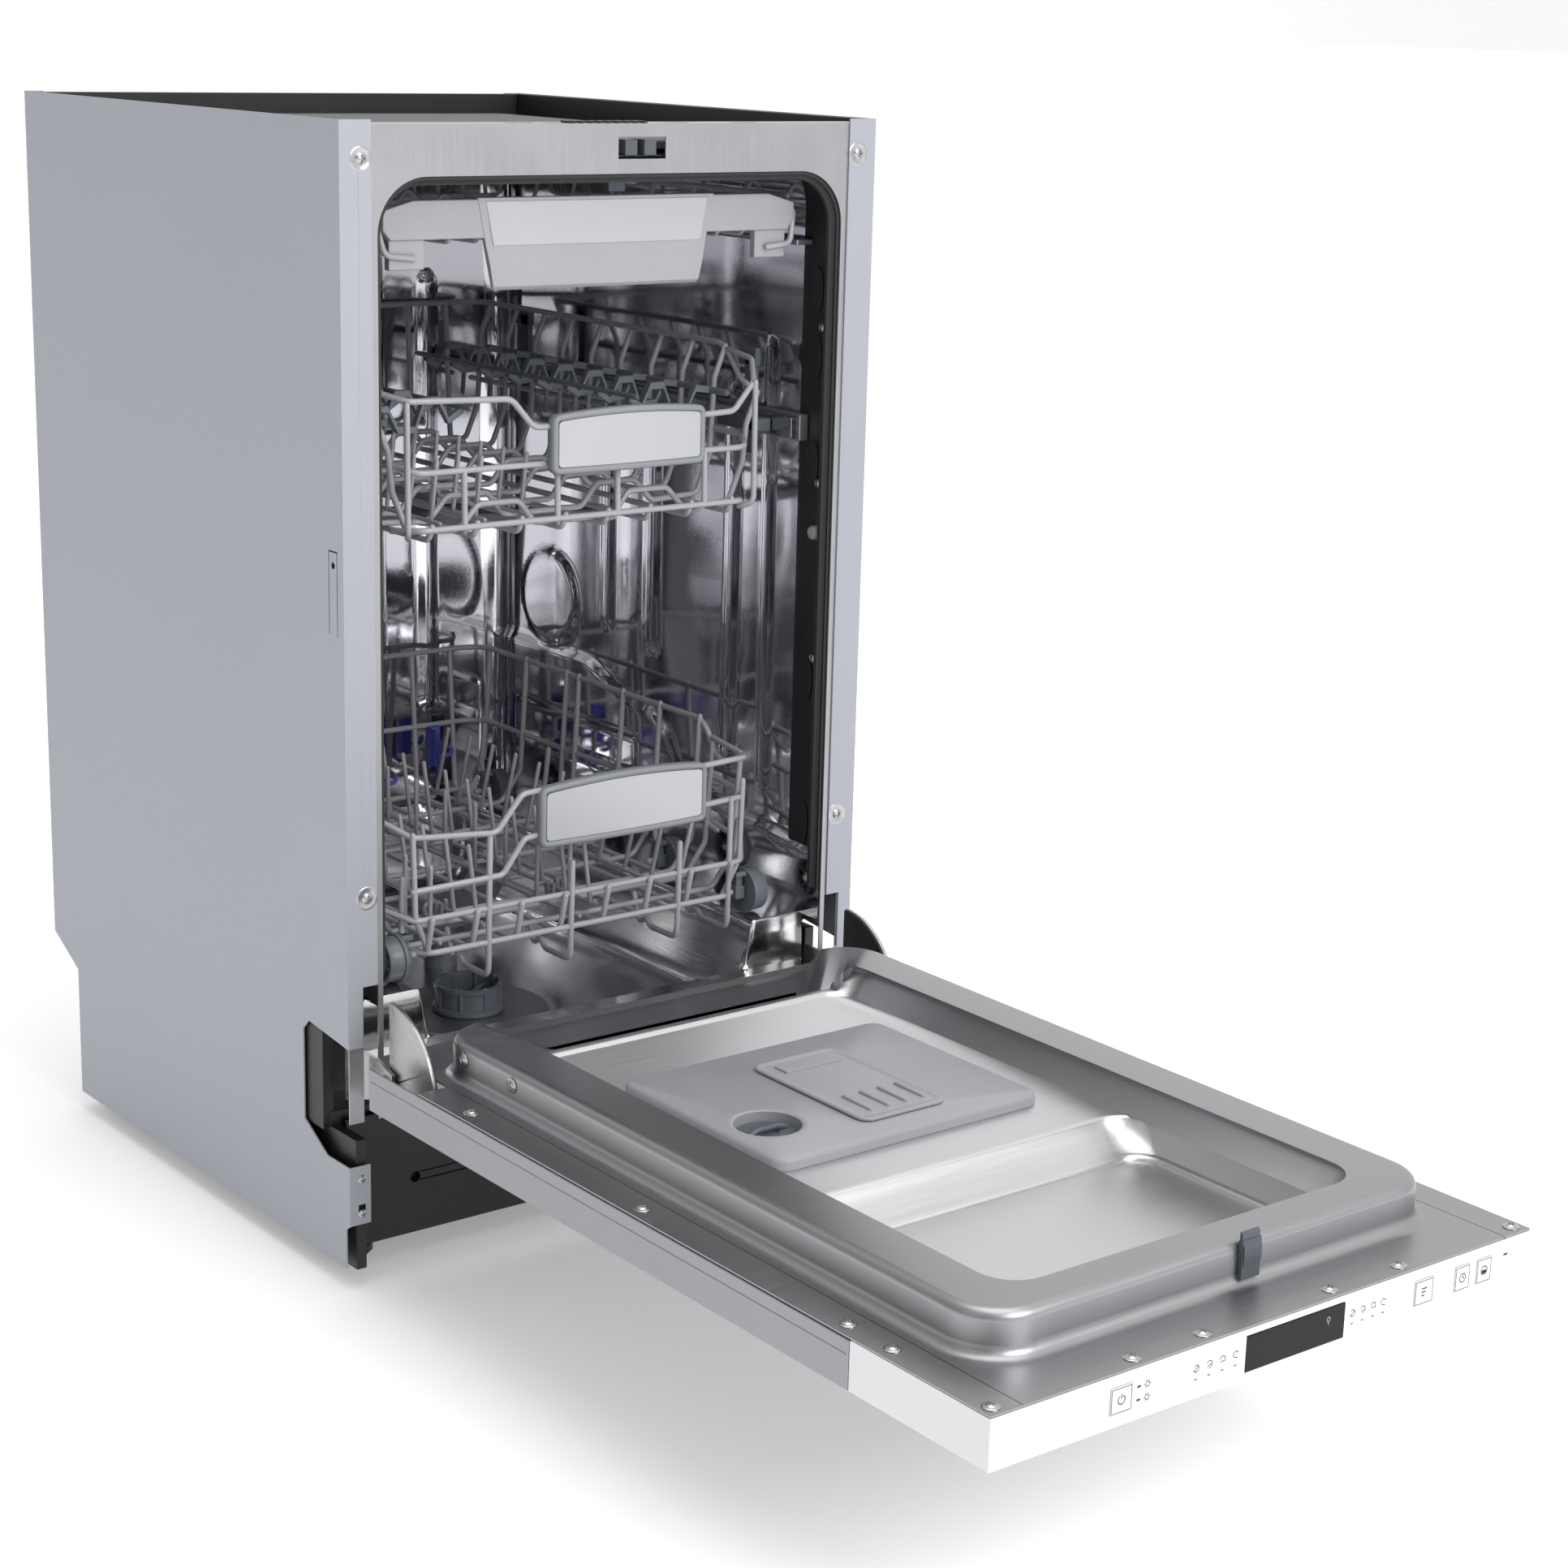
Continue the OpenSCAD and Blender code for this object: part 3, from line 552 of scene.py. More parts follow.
def wall_relief(y, z):
    """How far the pressings of a side wall stand into the tub."""
    raised = [
        3.2 * emboss(step_line(y) - z, 7),
        3.4 * emboss(44 - math.hypot(y - 384, z - 396), 7),
        3.0 * emboss(in_slot(y, z, 299, 394, 299, 560, 10), 5),
        3.0 * emboss(in_slot(y, z, 235, 386, 235, 560, 11), 5),
        2.6 * emboss(in_slot(y, z, 128, 312, 128, 600, 9), 5),
        2.6 * emboss(in_slot(y, z, 82, 300, 82, 640, 8), 5),
    ]
    pressed = max(raised) - 3.0 * emboss(in_rect(y, z, 250, 432, 264, 302, 6), 6)
    ripple = 1.0 * math.sin(y / 31) * math.sin(z / 74 + y / 120)
    return max(pressed + ripple * 0.5 + 0.6, 0.0)


def back_relief(x, z):
    inner = max(in_slot(x, z, s * 62, 250, s * 62, 700, 16) for s in SIDES)
    outer = max(in_slot(x, z, s * 120, 300, s * 120, 660, 10) for s in SIDES)
    return 3.5 * max(emboss(inner, 10), emboss(outer, 8)) + 0.8 * math.sin(z / 45)


sleeve = arch(tub_half, shelf_z, tub_top, 43)
corner_r = 24


def sleeve_point(i, y):
    x, z, nx, nz = sleeve[int(i)]
    inset = wall_relief(y, z) if abs(nx) == 1 else 0.0
    into_corner = y - (back_y - corner_r)
    if into_corner > 0:
        inset = max(inset * (1 - into_corner / corner_r), 0)
        inset += corner_r - math.sqrt(max(corner_r ** 2 - into_corner ** 2, 0))
    return (x - nx * inset, y, z - nz * inset)


walls = Shape()
walls.grid(sleeve_point, range(len(sleeve)), spread(3, back_y, 150))
walls.grid(lambda x, z: (x, back_y - 0.3 - back_relief(x, z), z),
           spread(-tub_half + 2, tub_half - 2, 100), spread(shelf_z - 8, tub_top - 2, 150))
walls.make("tub_walls", "cabinet", tub_steel, ["tub_wrapper", "tub_back"], soft=75)


def floor_point(x, y):
    """The tub's bottom: ledges for the wheels, a sunk basin and a low front sill."""
    side = in_rect(x, y, -basin_half, basin_half, -200, back_y - 1, 46)
    wall = max(1 - max(side, 0) / 21, 0) ** 2.2
    z = basin_z + (shelf_z - basin_z) * wall
    front = max(1 - max(y - 29, 0) / 16, 0) ** 2
    z = max(z, basin_z + (sill_z - basin_z) * front)
    if y < 28:
        z = sill_z + (z - sill_z) * smooth((y - 26) / 2)
    sink = emboss(70 - math.hypot(x + 45, y - 130), 18)
    ridge = emboss(in_rect(x, y, -118, 118, 70, 430, 30), 10)
    return (x, y, z - 1.4 * sink - 1.2 * ridge)


basin = Shape()
basin.grid(floor_point, spread(-tub_half, tub_half, 160),
           [3, 8, 14, 20, 25, 26, 26.6, 27.2, 27.8, 28.4] + spread(29.5, back_y - 0.5, 170))
basin.make("tub_basin", "cabinet", floor_steel, ["tub_floor"], soft=75)


def swept(shape, path, profile):
    """Sweeps a closed (outward, depth) profile round an arch."""
    loops = [[(x + nx * o, y, z + nz * o) for o, y in profile] for x, z, nx, nz in path]
    shape.rings(loops)


mouth = arch(mouth_half, gasket_low.z, mouth_top, 38, 12)
seal = Shape()
swept(seal, mouth, [(2.3, 3.0), (2.3, 13.8), (-1, 13.9), (-4.8, 12.6), (-6.4, 10.4), (-5.9, 8.0),
                    (-3.6, 6.9), (-2.4, 5.2), (-2.6, 3.2)])
swept(seal, mouth, [(-2.2, 14.1), (-1.6, 16.4), (-0.4, 16.8), (0.6, 15.2), (0.4, 13.6)])
seal.make("mouth_seal", "cabinet", rubber, ["gasket"])

channel = Shape()
inner = arch(tub_half - 0.9, shelf_z + 22, tub_top - 0.9, 42, 12)
swept(channel, inner, [(0.6, 4), (0.6, 46), (-0.6, 45.6), (-0.9, 40), (-0.6, 38), (-0.6, 18), (-0.9, 15),
                       (-0.9, 4)])
for s in SIDES:
    face = s * (tub_half - 1.4)
    for z in (278, 392, 560, 640, 690):
        oval = [(17 * math.sin(a), 7 * math.cos(a)) for a in around(28)]
        channel.prism(oval, (face, 28, z), inward(s), 1.6)
channel.make("jamb_channel", "cabinet", black_plastic, bevel=0.7)

jamb = Shape()
for s in SIDES:
    for z in (410, 545, 662):
        screw(jamb, (s * (tub_half - 1.9), 22, z), inward(s), 3.4)
jamb.make("jamb_screws", "cabinet", screw_steel)

bumper = Shape()
for s in SIDES:
    bumper.lathe([(5.5, 0), (5.5, 4.6), (4.6, 6.2), (2.4, 7.0)], (s * (tub_half - 1.4), 20, 508),
                 inward(s), 24)
bumper.make("jamb_bumpers", "cabinet", silver_plastic)


# ---- filter, salt and spray

finish_node("filter_mesh", mesh_steel, 0.4)
finish_node("lower_spray_arm", blue_grey, 1.6)
finish_node("upper_spray_arm", dark_plastic, 1.4)
finish_node("upper_spray_tube", grey_plastic, 2.0)

cup_low = span("filter_cylinder")[0]
cup = Shape()
cx, cy = -45, 130
cup.lathe([(25.8, cup_low.z), (25.8, 143), (27.4, 143.4), (27.4, 146.5), (25.2, 147.5), (25.2, 160),
           (26.4, 160.6), (26.4, 164), (23.6, 164.4), (22.8, 160), (22.8, 146), (9, 144), (8, 152),
           (3, 153)], (cx, cy, 0), sides=64)
for a in around(8):
    spot = Vector((cx + 24.2 * math.cos(a), cy + 24.2 * math.sin(a), 154))
    cup.tube([spot + Vector((0, 0, -9)), spot + Vector((0, 0, 9))], 2.4, sides=8)
for a in around(3):
    out = Vector((math.cos(a + 0.5), math.sin(a + 0.5), 0))
    hub = Vector((cx, cy, 150))
    cup.tube([hub + out * 3, hub + out * 14 + Vector((0, 0, 4)), hub + out * 23 + Vector((0, 0, 4))], 2.2)
cup.make("filter_cup", "filter_cylinder", dark_plastic, ["filter_cylinder"])

cap_low = span("salt_cap")[0]
cap = Shape()
cap.lathe([(20.6, cap_low.z), (20.6, basin_z + 3), (19.6, basin_z + 4.2), (12, basin_z + 4.6),
           (11, basin_z + 3.6), (2, basin_z + 3.6)], (-110, 60, 0), sides=72,
          wave=lambda a: 1 - 0.02 * (math.cos(24 * a) > 0))
cap.tube([(-125, 60, basin_z + 6), (-118, 60, basin_z + 9.4), (-102, 60, basin_z + 9.4),
          (-95, 60, basin_z + 6)], 2.4)
cap.make("salt_cap_top", "salt_cap", blue_grey, ["salt_cap"])

# Raised rims round the spray holes of the lower arm.
arm_low, arm_high = span("lower_spray_arm")
arm_y = (arm_low.y + arm_high.y) / 2
rims = Shape()
for turn in (35, 215):
    a = math.radians(turn)
    for k in (0.35, 0.5, 0.65, 0.8, 0.92):
        u, v = 138 * k, 8 if k > 0.8 else -2
        spot = (u * math.cos(a) - v * math.sin(a), arm_y + u * math.sin(a) + v * math.cos(a), 187)
        rims.lathe([(4.6, -0.6), (4.2, 1.0), (2.6, 1.3), (1.7, 0.4), (1.6, -0.6)], spot, sides=20)
rims.make("lower_arm_nozzles", "lower_spray_arm", blue_grey)


# ---- door

skin_low, skin_high = span("door_skin")
panel_box_low, panel_box_high = span("control_panel")
lever_high = span("hinge_levers")[1]
tongue_low, tongue_high = span("latch_tongue")
flange_z = skin_high.z + 1.4
door_end = panel_box_low.y
door_half = panel_box_high.x
hinge_y = skin_high.y + 4
hinge_z = skin_low.z + 14
rim_half = 186
rim_near = hinge_y - 30
rim_far = tongue_high.y + 0.1
pan_near = rim_near - 36
pan_far = rim_far + 27
pan_z = flange_z + 6

finish_node("door_skin", skin_steel, 0.7)
finish_node("control_panel", white_plastic, 0.8)
finish_node("display_window", black_glass, 0.3)
finish_node("hinge_levers", galvanised, 0.5)
buttons = {key: span("button_" + key) for key in ("power", "programme", "delay", "half_load")}
for key in buttons:
    finish_node("button_" + key, white_plastic, 0.25)


def outline(half_width, near, far, r, z):
    """A rounded rectangle on the door, dipping to a low lip at the hinge end."""
    points = []
    for x, y in round_loop(-half_width, half_width, far, near, r, 8, 24):
        lip = flange_z + 9 + (shelf_z - flange_z - 9) * smooth((abs(x) - 134) / 16)
        low = y > pan_near - 14
        points.append((x, y, min(z, lip) if low else z))
    return points


def grown(base, by, z):
    half_width, near, far, r = base
    return outline(half_width + by, near + by, far - by, r + by, z)


def arc(count):
    return [math.radians(90 * i / count) for i in range(count + 1)]


rim = (rim_half, rim_near, rim_far, 34)
pan = (148, pan_near, pan_far, 26)
deep = (145, hinge_y - 372, pan_far + 3, 24)
deep_floor = (134, hinge_y - 396, pan_far + 46, 16)
liner_loops = [
    outline(198.5, hinge_y - 2, door_end + 1.5, 2, flange_z - 1.1),
    outline(198.5, hinge_y - 2, door_end + 1.5, 2, flange_z),
    grown(rim, 9, flange_z),
]
liner_loops += [grown(rim, 8 - 8 * math.sin(a), flange_z + 8 - 8 * math.cos(a)) for a in arc(6)]
liner_loops += [grown(rim, -7 + 7 * math.cos(a), shelf_z - 7 + 7 * math.sin(a)) for a in arc(6)]
liner_loops += [grown(pan, 6 * math.cos(a) - 1, shelf_z - 6 + 6 * math.sin(a)) for a in reversed(arc(5))]
liner_loops += [grown(pan, -3 - 6 * math.sin(a), pan_z + 6 - 6 * math.sin(a)) for a in arc(5)]
liner_loops += [grown(deep, 3 * (1 - math.sin(a)), pan_z - 3 + 3 * math.cos(a)) for a in arc(4)]
liner_loops += [grown(deep_floor, 6 - 6 * math.sin(a), flange_z - 13 - 4 * (1 - math.cos(a))) for a in arc(4)]
liner_loops.append(outline(90, hinge_y - 440, pan_far + 90, 4, flange_z - 17))

rim_loops = 3 + 7 + 7 + 6  # flange, foot of the rim, its crest, and down into the pan
liner = Shape()
liner.rings(liner_loops[:rim_loops], start=False, end=False)
for s in SIDES:
    liner.side_box(s, (198, door_half - 1), (door_end + 1.5, hinge_y - 68), (flange_z - 1.1, flange_z))
# The flange and rim take the darker copy of the liner steel, as painted shade.
liner.make("door_liner_pressing", "door", liner_steel, ["door_liner"], soft=50)
inside = Shape()
inside.rings(liner_loops[rim_loops - 1:], start=False)
# The pan takes the brighter copy of the same steel, as a painted highlight.
inside.make("door_liner_pan", "door", pan_steel_painted_highlight, soft=50)

fixings = Shape()
for s in SIDES:
    for y in (hinge_y - 119, hinge_y - 315, hinge_y - 515, hinge_y - 554):
        screw(fixings, (s * 212, y, flange_z), "z", 3.8, washer=5.4)
    for y in (hinge_y - 68, hinge_y - 128):
        screw(fixings, (s * (rim_half + 0.2), y, flange_z + 17), outward(s), 3.8, washer=5.6)
for x in (-214, -110, -55, 50, 110, 214):
    screw(fixings, (x, door_end + 10, flange_z), "z", 3.8, washer=5.4)
fixings.make("door_screw_set", "door", screw_steel, ["door_screws"])

hems = Shape()
for s in SIDES:
    hems.side_box(s, (door_half, door_half + 0.35), (panel_box_high.y + 3, hinge_y - 6),
                  (flange_z - 11.5, flange_z - 10.3))
hems.make("door_hems", "door", skin_steel, bevel=0.15)

# Black guards on the inner faces of the hinge's quarter discs.
guards = Shape()
for s in SIDES:
    quarter = [(0, 0)] + [(-s * 59 * math.sin(a), -59 * math.cos(a)) for a in arc(20)]
    guards.prism(quarter, (s * (lever_high.x - 3.9), hinge_y, hinge_z), outward(s), 1.1)
guards.make("hinge_guards", "door", rubber)

pins = Shape()
for s in SIDES:
    pins.lathe([(6.2, 0), (6.2, 2.2), (5.2, 3.0), (3.4, 3.1), (3.0, 2.2), (0.4, 2.2)],
               (s * (lever_high.x + 5.6), hinge_y, hinge_z), outward(s), 32)
    screw(pins, (s * (lever_high.x + 3.4), 14, 158), outward(s), 3.6)
pins.make("hinge_pins", "cabinet", screw_steel)

tongue = Shape()
x0, y0, z0 = tongue_low
x1, y1, z1 = tongue_high
hook = [(y1 - 0.2, z0 + 1), (y0 + 3.2, z0 + 3), (y0 + 0.3, z0 + 12), (y0 + 0.3, z1 - 9), (y0 + 2.6, z1 - 6),
        (y0 + 2.6, z1 - 1.6), (y0 + 4.2, z1 - 0.2), (y1 - 0.2, z1 - 0.2)]
tongue.rings([[(x, y, z) for y, z in hook] for x in (x0 + 0.6, x1 - 0.6)])
tongue.box((x0 + 0.1, y1 - 3.4, z0 + 0.2), (x1 - 0.1, y1 - 0.1, z1 - 5))
tongue.box((x0 + 2.2, y0 + 0.1, z0 + 14), (x1 - 2.2, y0 + 1.2, z1 - 11))
tongue.make("latch_hook", "door", dark_plastic, ["latch_tongue"], bevel=0.7)


# ---- control panel marks

MARK_WEIGHT = 1.6
window_low, window_high = span("display_window")
mark_z = (window_low.z + window_high.z) / 2


class Marks(Shape):
    """Flat printed marks on a face that looks along -Y."""

    def __init__(self, y):
        super().__init__()
        self.y = y

    def line(self, x0, z0, x1, z1, w=0.5):
        d = Vector((x1 - x0, z1 - z0)).normalized() * w * MARK_WEIGHT / 2
        n = Vector((-d.y, d.x))
        corners = [(x0 + n.x, z0 + n.y), (x1 + n.x, z1 + n.y), (x1 - n.x, z1 - n.y), (x0 - n.x, z0 - n.y)]
        self.add([(x, self.y - 0.03, z) for x, z in corners], [(0, 1, 2, 3)])

    def ring(self, x, z, r, start=0, sweep=360, w=0.5):
        steps = 20
        turn = [math.radians(start + sweep * k / steps) for k in range(steps + 1)]
        spots = [(x + r * math.cos(a), z + r * math.sin(a)) for a in turn]
        for (xa, za), (xb, zb) in zip(spots, spots[1:]):
            self.line(xa, za, xb, zb, w)

    def frame(self, x, z, w, h):
        for s in SIDES:
            self.line(x - w, z + s * h, x + w, z + s * h, 0.35)
            self.line(x + s * w, z - h, x + s * w, z + h, 0.35)


for key, (low, high) in buttons.items():
    icon = Marks(low.y)
    x = (low.x + high.x) / 2
    icon.frame(x, mark_z, (high.x - low.x) / 2 - 0.5, 7.2)
    if key == "power":
        icon.ring(x, mark_z, 2.6, 115, 310)
        icon.line(x, mark_z + 0.6, x, mark_z + 3.6)
    elif key == "programme":
        for k in range(3):
            icon.line(x - 2.4, mark_z + 2.2 - 2.2 * k, x + 2.4 - k, mark_z + 2.2 - 2.2 * k, 0.6)
    elif key == "delay":
        icon.ring(x, mark_z, 2.7)
        icon.line(x, mark_z, x, mark_z + 1.8)
        icon.line(x, mark_z, x + 1.4, mark_z)
    else:
        icon.ring(x, mark_z, 2.7)
        for k in spread(-1.6, 0, 5):
            icon.line(x - 2.0, mark_z + k, x + 2.0, mark_z + k, 0.42)
    icon.make("icon_" + key, "button_" + key, icon_grey)

marks = Marks(door_end)
for k in range(4):
    left = window_low.x - 40 + 10.5 * k
    right = window_high.x + 7 + 9 * k
    for x in (left, right):
        marks.ring(x, mark_z + 2.4, 2.1, 200 + 60 * k, 300 - 40 * k, 0.4)
        marks.line(x - 1.6, mark_z + 1.2, x + 1.6, mark_z + 3.4 - k, 0.4)
        marks.line(x - 1.2, mark_z - 4.2, x + 1.2, mark_z - 4.2, 0.5)
power_x = (buttons["power"][1].x + buttons["power"][0].x) / 2
for dz in (-4, 4):
    marks.line(power_x + 12, mark_z + dz, power_x + 15, mark_z + dz, 0.9)
    marks.ring(power_x + 20, mark_z + dz, 1.5, w=0.4)
    for a in around(6):
        marks.line(power_x + 20 + 2.1 * math.cos(a), mark_z + dz + 2.1 * math.sin(a),
                   power_x + 20 + 2.9 * math.cos(a), mark_z + dz + 2.9 * math.sin(a), 0.35)
marks.line(196, mark_z + 5.5, 200, mark_z + 5.5, 0.9)
marks.make("panel_marks", "door", icon_grey)

lit = Marks(window_low.y)
lit.ring(window_high.x - 14, mark_z + 4, 1.3, w=0.4)
lit.line(window_high.x - 14, mark_z + 0.6, window_high.x - 14, mark_z + 2.4, 0.4)
lit.make("display_marks", "door", silver_plastic)


# ---- dispenser

dish_low, dish_high = span("dispenser")
cap_low, cap_high = span("rinse_cap")
cap_at = Vector(((cap_low.x + cap_high.x) / 2, (cap_low.y + cap_high.y) / 2, 0))
dish_top = dish_high.z


def shrunk(by, z):
    return flat_loop(round_loop(dish_low.x + by, dish_high.x - by, dish_low.y + by, dish_high.y - by,
                                12 - by, 6, 14), z)


def toward_cap(r, z):
    """Points on a circle round the rinse cap, in the directions of the dish's outline."""
    ring = []
    for point in shrunk(0, 0):
        way = (Vector(point) - cap_at).normalized()
        ring.append(cap_at + way * r + Vector((0, 0, z)))
    return ring


dish = Shape()
dish.rings([shrunk(0, pan_z + 0.2), shrunk(0, dish_top - 4), shrunk(0.8, dish_top - 1.6),
            shrunk(3, dish_top - 0.3), toward_cap(27, dish_top - 0.2), toward_cap(24.5, dish_top + 0.6),
            toward_cap(22.6, dish_top - 0.4), toward_cap(22.4, pan_z - 2)])
dish.make("dispenser_body", "door", dish_grey, ["dispenser"], soft=50)

rinse = Shape()
rinse.lathe([(21.6, pan_z - 10), (21.6, pan_z + 1.8), (20.2, pan_z + 3.0), (8, pan_z + 3.2),
             (7, pan_z + 2.2), (1, pan_z + 2.2)], cap_at, sides=72,
            wave=lambda a: 1 - 0.025 * (math.cos(20 * a) > 0))
rinse.tube([(cap_at.x - 16, cap_at.y, pan_z + 3), (cap_at.x - 8, cap_at.y, pan_z + 5.6),
            (cap_at.x + 8, cap_at.y, pan_z + 5.6), (cap_at.x + 16, cap_at.y, pan_z + 3)], 2.2)
rinse.make("rinse_cap_top", "rinse_cap", dark_plastic, ["rinse_cap"])

lid_low, lid_high = span("detergent_lid")
lid = Shape()
lid.rings([flat_loop(round_loop(lid_low.x + b, lid_high.x - b, lid_low.y + b, lid_high.y - b, 9 - b, 6, 4),
                     lid_low.z + rise)
           for b, rise in ((0, 0), (0, 1.4), (0.8, 2.1), (3, 2.2), (4.2, 1.6), (8, 1.6))])
for k in range(4):
    x = lid_low.x + 16 + 15 * k
    lid.tube([(x, lid_low.y + 14, lid_low.z + 1.9), (x, lid_low.y + 42, lid_low.z + 1.9)], 1.5)
lid.box((lid_low.x + 12, lid_high.y - 26, lid_low.z + 1.2),
        (lid_high.x - 12, lid_high.y - 12, lid_high.z - 0.2))
lid.make("detergent_lid_top", "detergent_lid", dish_grey, ["detergent_lid"], bevel=0.5)


# ---- rack parts

wire_r = 2.3
thin_r = 1.8
rack_front = 42
rack_back = 444


def handle(name, plate_name, node, bow):
    """A grip with a bowed top edge and an inset plate, in the place of its CAD node."""
    low, high = span(node)
    centre_x = (low.x + high.x) / 2
    half_w = (high.x - low.x) / 2

    def edge(inset, y):
        points = []
        for x, z in round_loop(-half_w + inset, half_w - inset, low.z + inset, high.z - inset,
                               max(6 - inset, 1.5), 6, 16):
            along = 1 - (x / half_w) ** 2
            above = (z - low.z) / (high.z - low.z)
            drop = bow * (1 - along) * above
            points.append((centre_x + x, y + 3.0 * (1 - along), z - drop))
        return points

    grip = Shape()
    grip.rings([edge(1.2, high.y), edge(0, high.y - 1.2), edge(0, low.y + 1.6), edge(1.2, low.y + 0.3),
                edge(3.6, low.y + 0.1), edge(4.6, low.y + 1.2), edge(5.4, low.y + 2.2)], end=False)
    body = "lower_rack" if node == "lower_rack_handle" else "upper_rack"
    grip.make(name, body, grey_plastic, [node], soft=60)
    plate = Shape()
    reach = half_w - 5
    corner = 3.0
    sections = []
    for x in (reach * math.sin(math.radians(a)) for a in spread(-90, 90, 41)):
        along = 1 - (x / half_w) ** 2
        past = max(abs(x) - reach + corner, 0)
        inset = corner - math.sqrt(max(corner ** 2 - past ** 2, 0.01))
        y = low.y + 1.0 + 3.0 * (1 - along)
        top_z = high.z - 5 - bow * (1 - along) - inset
        bottom_z = low.z + 5 + inset
        sections.append([(centre_x + x, y + back, z) for back, z in
                         ((0, top_z), (0, bottom_z), (1.6, bottom_z), (1.6, top_z))])
    plate.rings(sections)
    plate.make(plate_name, body, plate_metal, bevel=0.3, soft=50)


def tine(shape, x, y, z, lean_x, lean_y, height, r=thin_r):
    shape.tube([(x, y, z), (x + lean_x, y + lean_y, z + height)], r, sides=8)


# ---- lower rack

low_floor = 222
low_rim = 346
low_hoop = 282
low_wires = Shape()
stations = [68, 104, 122, 176, 228, 292, 310, 372, 430]
for y in stations:
    top_z = 328 if y < 110 else low_rim
    low_wires.tube(across([(-165, y, top_z + 2), (-159, y, 250), (-140, y, 224.5)]), wire_r, 12)
for x in spread(-134, 134, 8):
    low_wires.tube([(x, 36, 252), (x, 44, low_floor), (x, 438, low_floor), (x, 447, low_rim)], wire_r, 12)
# the rim runs round the back and steps down to two stubs near the front
low_wires.tube([(-166, 92, 318), (-166, 102, 322), (-166, 118, low_rim), (-166, 446, low_rim),
                (-60, 446, low_rim), (-48, 446, low_rim + 5), (52, 446, low_rim + 5),
                (64, 446, low_rim), (166, 446, low_rim), (166, 118, low_rim), (166, 102, 322),
                (166, 92, 318)], wire_r, 26)
low_wires.tube(across([(-162, 92, 262), (-162, 104, 264), (-162, 118, low_hoop), (-162, 442, low_hoop)]),
               wire_r, 26)
# the front wires dip before the handle, which sits right of the middle
grip_low, grip_high = span("lower_rack_handle")
left, right = grip_low.x + 8, grip_high.x - 8
low_wires.tube([(-166, 106, 332), (-166, 66, 327), (-147, 41, 314), (left - 42, 37, 309),
                (left - 20, 37, 335), (left, 36, 336)], wire_r, 10)
low_wires.tube([(-147, 41, 274), (left - 36, 38, 276), (left - 18, 37, 301), (left, 36, 303)], wire_r, 8)
for z in (334, 303):
    low_wires.tube([(right, 36, z), (148, 42, z), (166, 66, z - 5), (166, 106, z)], wire_r, 10)
low_wires.tube(across([(-165, 112, 268), (-165, 66, 260), (-146, 40, 252)]), wire_r, 12)
low_wires.tube(across([(-150, 64, 224), (-132, 40, 226)]), wire_r, 10)
for s in SIDES:
    low_wires.tube([(s * 147, 41, 316), (s * 145, 41, 254), (s * 132, 44, 226)], wire_r, 8)
# guard loops that hang below the floor at the front
for x, rise in ((-84, 309), (-12, 276), (86, 276), (134, 303)):
    low_wires.tube([(x, 38, rise), (x, 40, 200), (x, 74, 200), (x, 80, 206), (x, 90, 200), (x, 97, 221)],
                   wire_r, 8)
# fixed rows of tines
for x, lean, count in ((104, 6, 11), (-118, -5, 11), (4, -6, 9)):
    low_wires.tube([(x, 52, 228), (x, 432, 228)], thin_r)
    for y in spread(66, 420, count):
        tine(low_wires, x, y, 227, lean, -10, 58)
# posts and stubs that carry the wheels
wheel_spots = [sum(span("wheels_%d" % k), Vector()) / 2 for k in (1, 2, 3, 4)]
wheel_z = wheel_spots[0].z
for _, y, _ in wheel_spots:
    for s in SIDES:
        low_wires.tube([(s * 150, y, low_hoop), (s * 149, y + 4, 250), (s * 150, y, wheel_z + 3),
                        (s * 150, y, wheel_z - 3)], wire_r, 8)
        low_wires.tube([(s * 141, y, wheel_z), (s * 170, y, wheel_z)], 2.6)
low_wires.make("lower_rack_wires", "lower_rack", coated_wire, ["lower_rack"], soft=70)
handle("lower_handle_grip", "lower_handle_plate", "lower_rack_handle", 5)

carriers = Shape()
for _, y, _ in wheel_spots:
    for s in SIDES:
        for thin, reach, bottom, height in ((0, 5.5, -5, 5), (1.5, 4, 4, 17), (-0.5, 6.5, 13, 17)):
            carriers.side_box(s, (145.5 + thin, 154.5 - thin), (y - reach, y + reach),
                              (wheel_z + bottom, wheel_z + height))
carriers.make("wheel_carriers", "lower_rack", blue_grey, bevel=0.8)

for k, (_, y, _) in enumerate(wheel_spots):
    wheels = Shape()
    for s in SIDES:
        aim = outward(s)
        at = (s * 155.4, y, wheel_z)
        wheels.lathe([(4, 0), (17.9, 0), (17.9, 1.8), (16.4, 2.4), (16.4, 13.4), (15.8, 14),
                      (14.2, 14), (13.8, 13.2), (13.4, 4), (6.6, 4), (6.4, 11.4), (5.8, 12),
                      (3.4, 12), (3.2, 10)], at, aim, 64,
                     wave=lambda a: 1 - 0.006 * (math.cos(32 * a) > 0))
        turn = frame_along(aim)
        for a in around(9):
            u = Vector((math.cos(a), math.sin(a)))
            n = Vector((-u.y, u.x)) * 0.7
            corners = [u * 6 + n, u * 14.4 + n, u * 14.4 - n, u * 6 - n]
            wheels.prism([(c.x, c.y) for c in corners], Vector(at) + turn @ Vector((0, 0, 3)), aim, 9)
        for a in around(3):
            spot = Vector(at) + turn @ Vector((3.2 * math.cos(a + 0.4), 3.2 * math.sin(a + 0.4), 0))
            wheels.lathe([(1.7, 9), (1.7, 13.4), (1.1, 14.2)], spot, aim, 14)
    name = "wheels_%d" % (k + 1)
    wheels.make("wheel_pair_%d" % (k + 1), name, blue_grey, [name], soft=45)

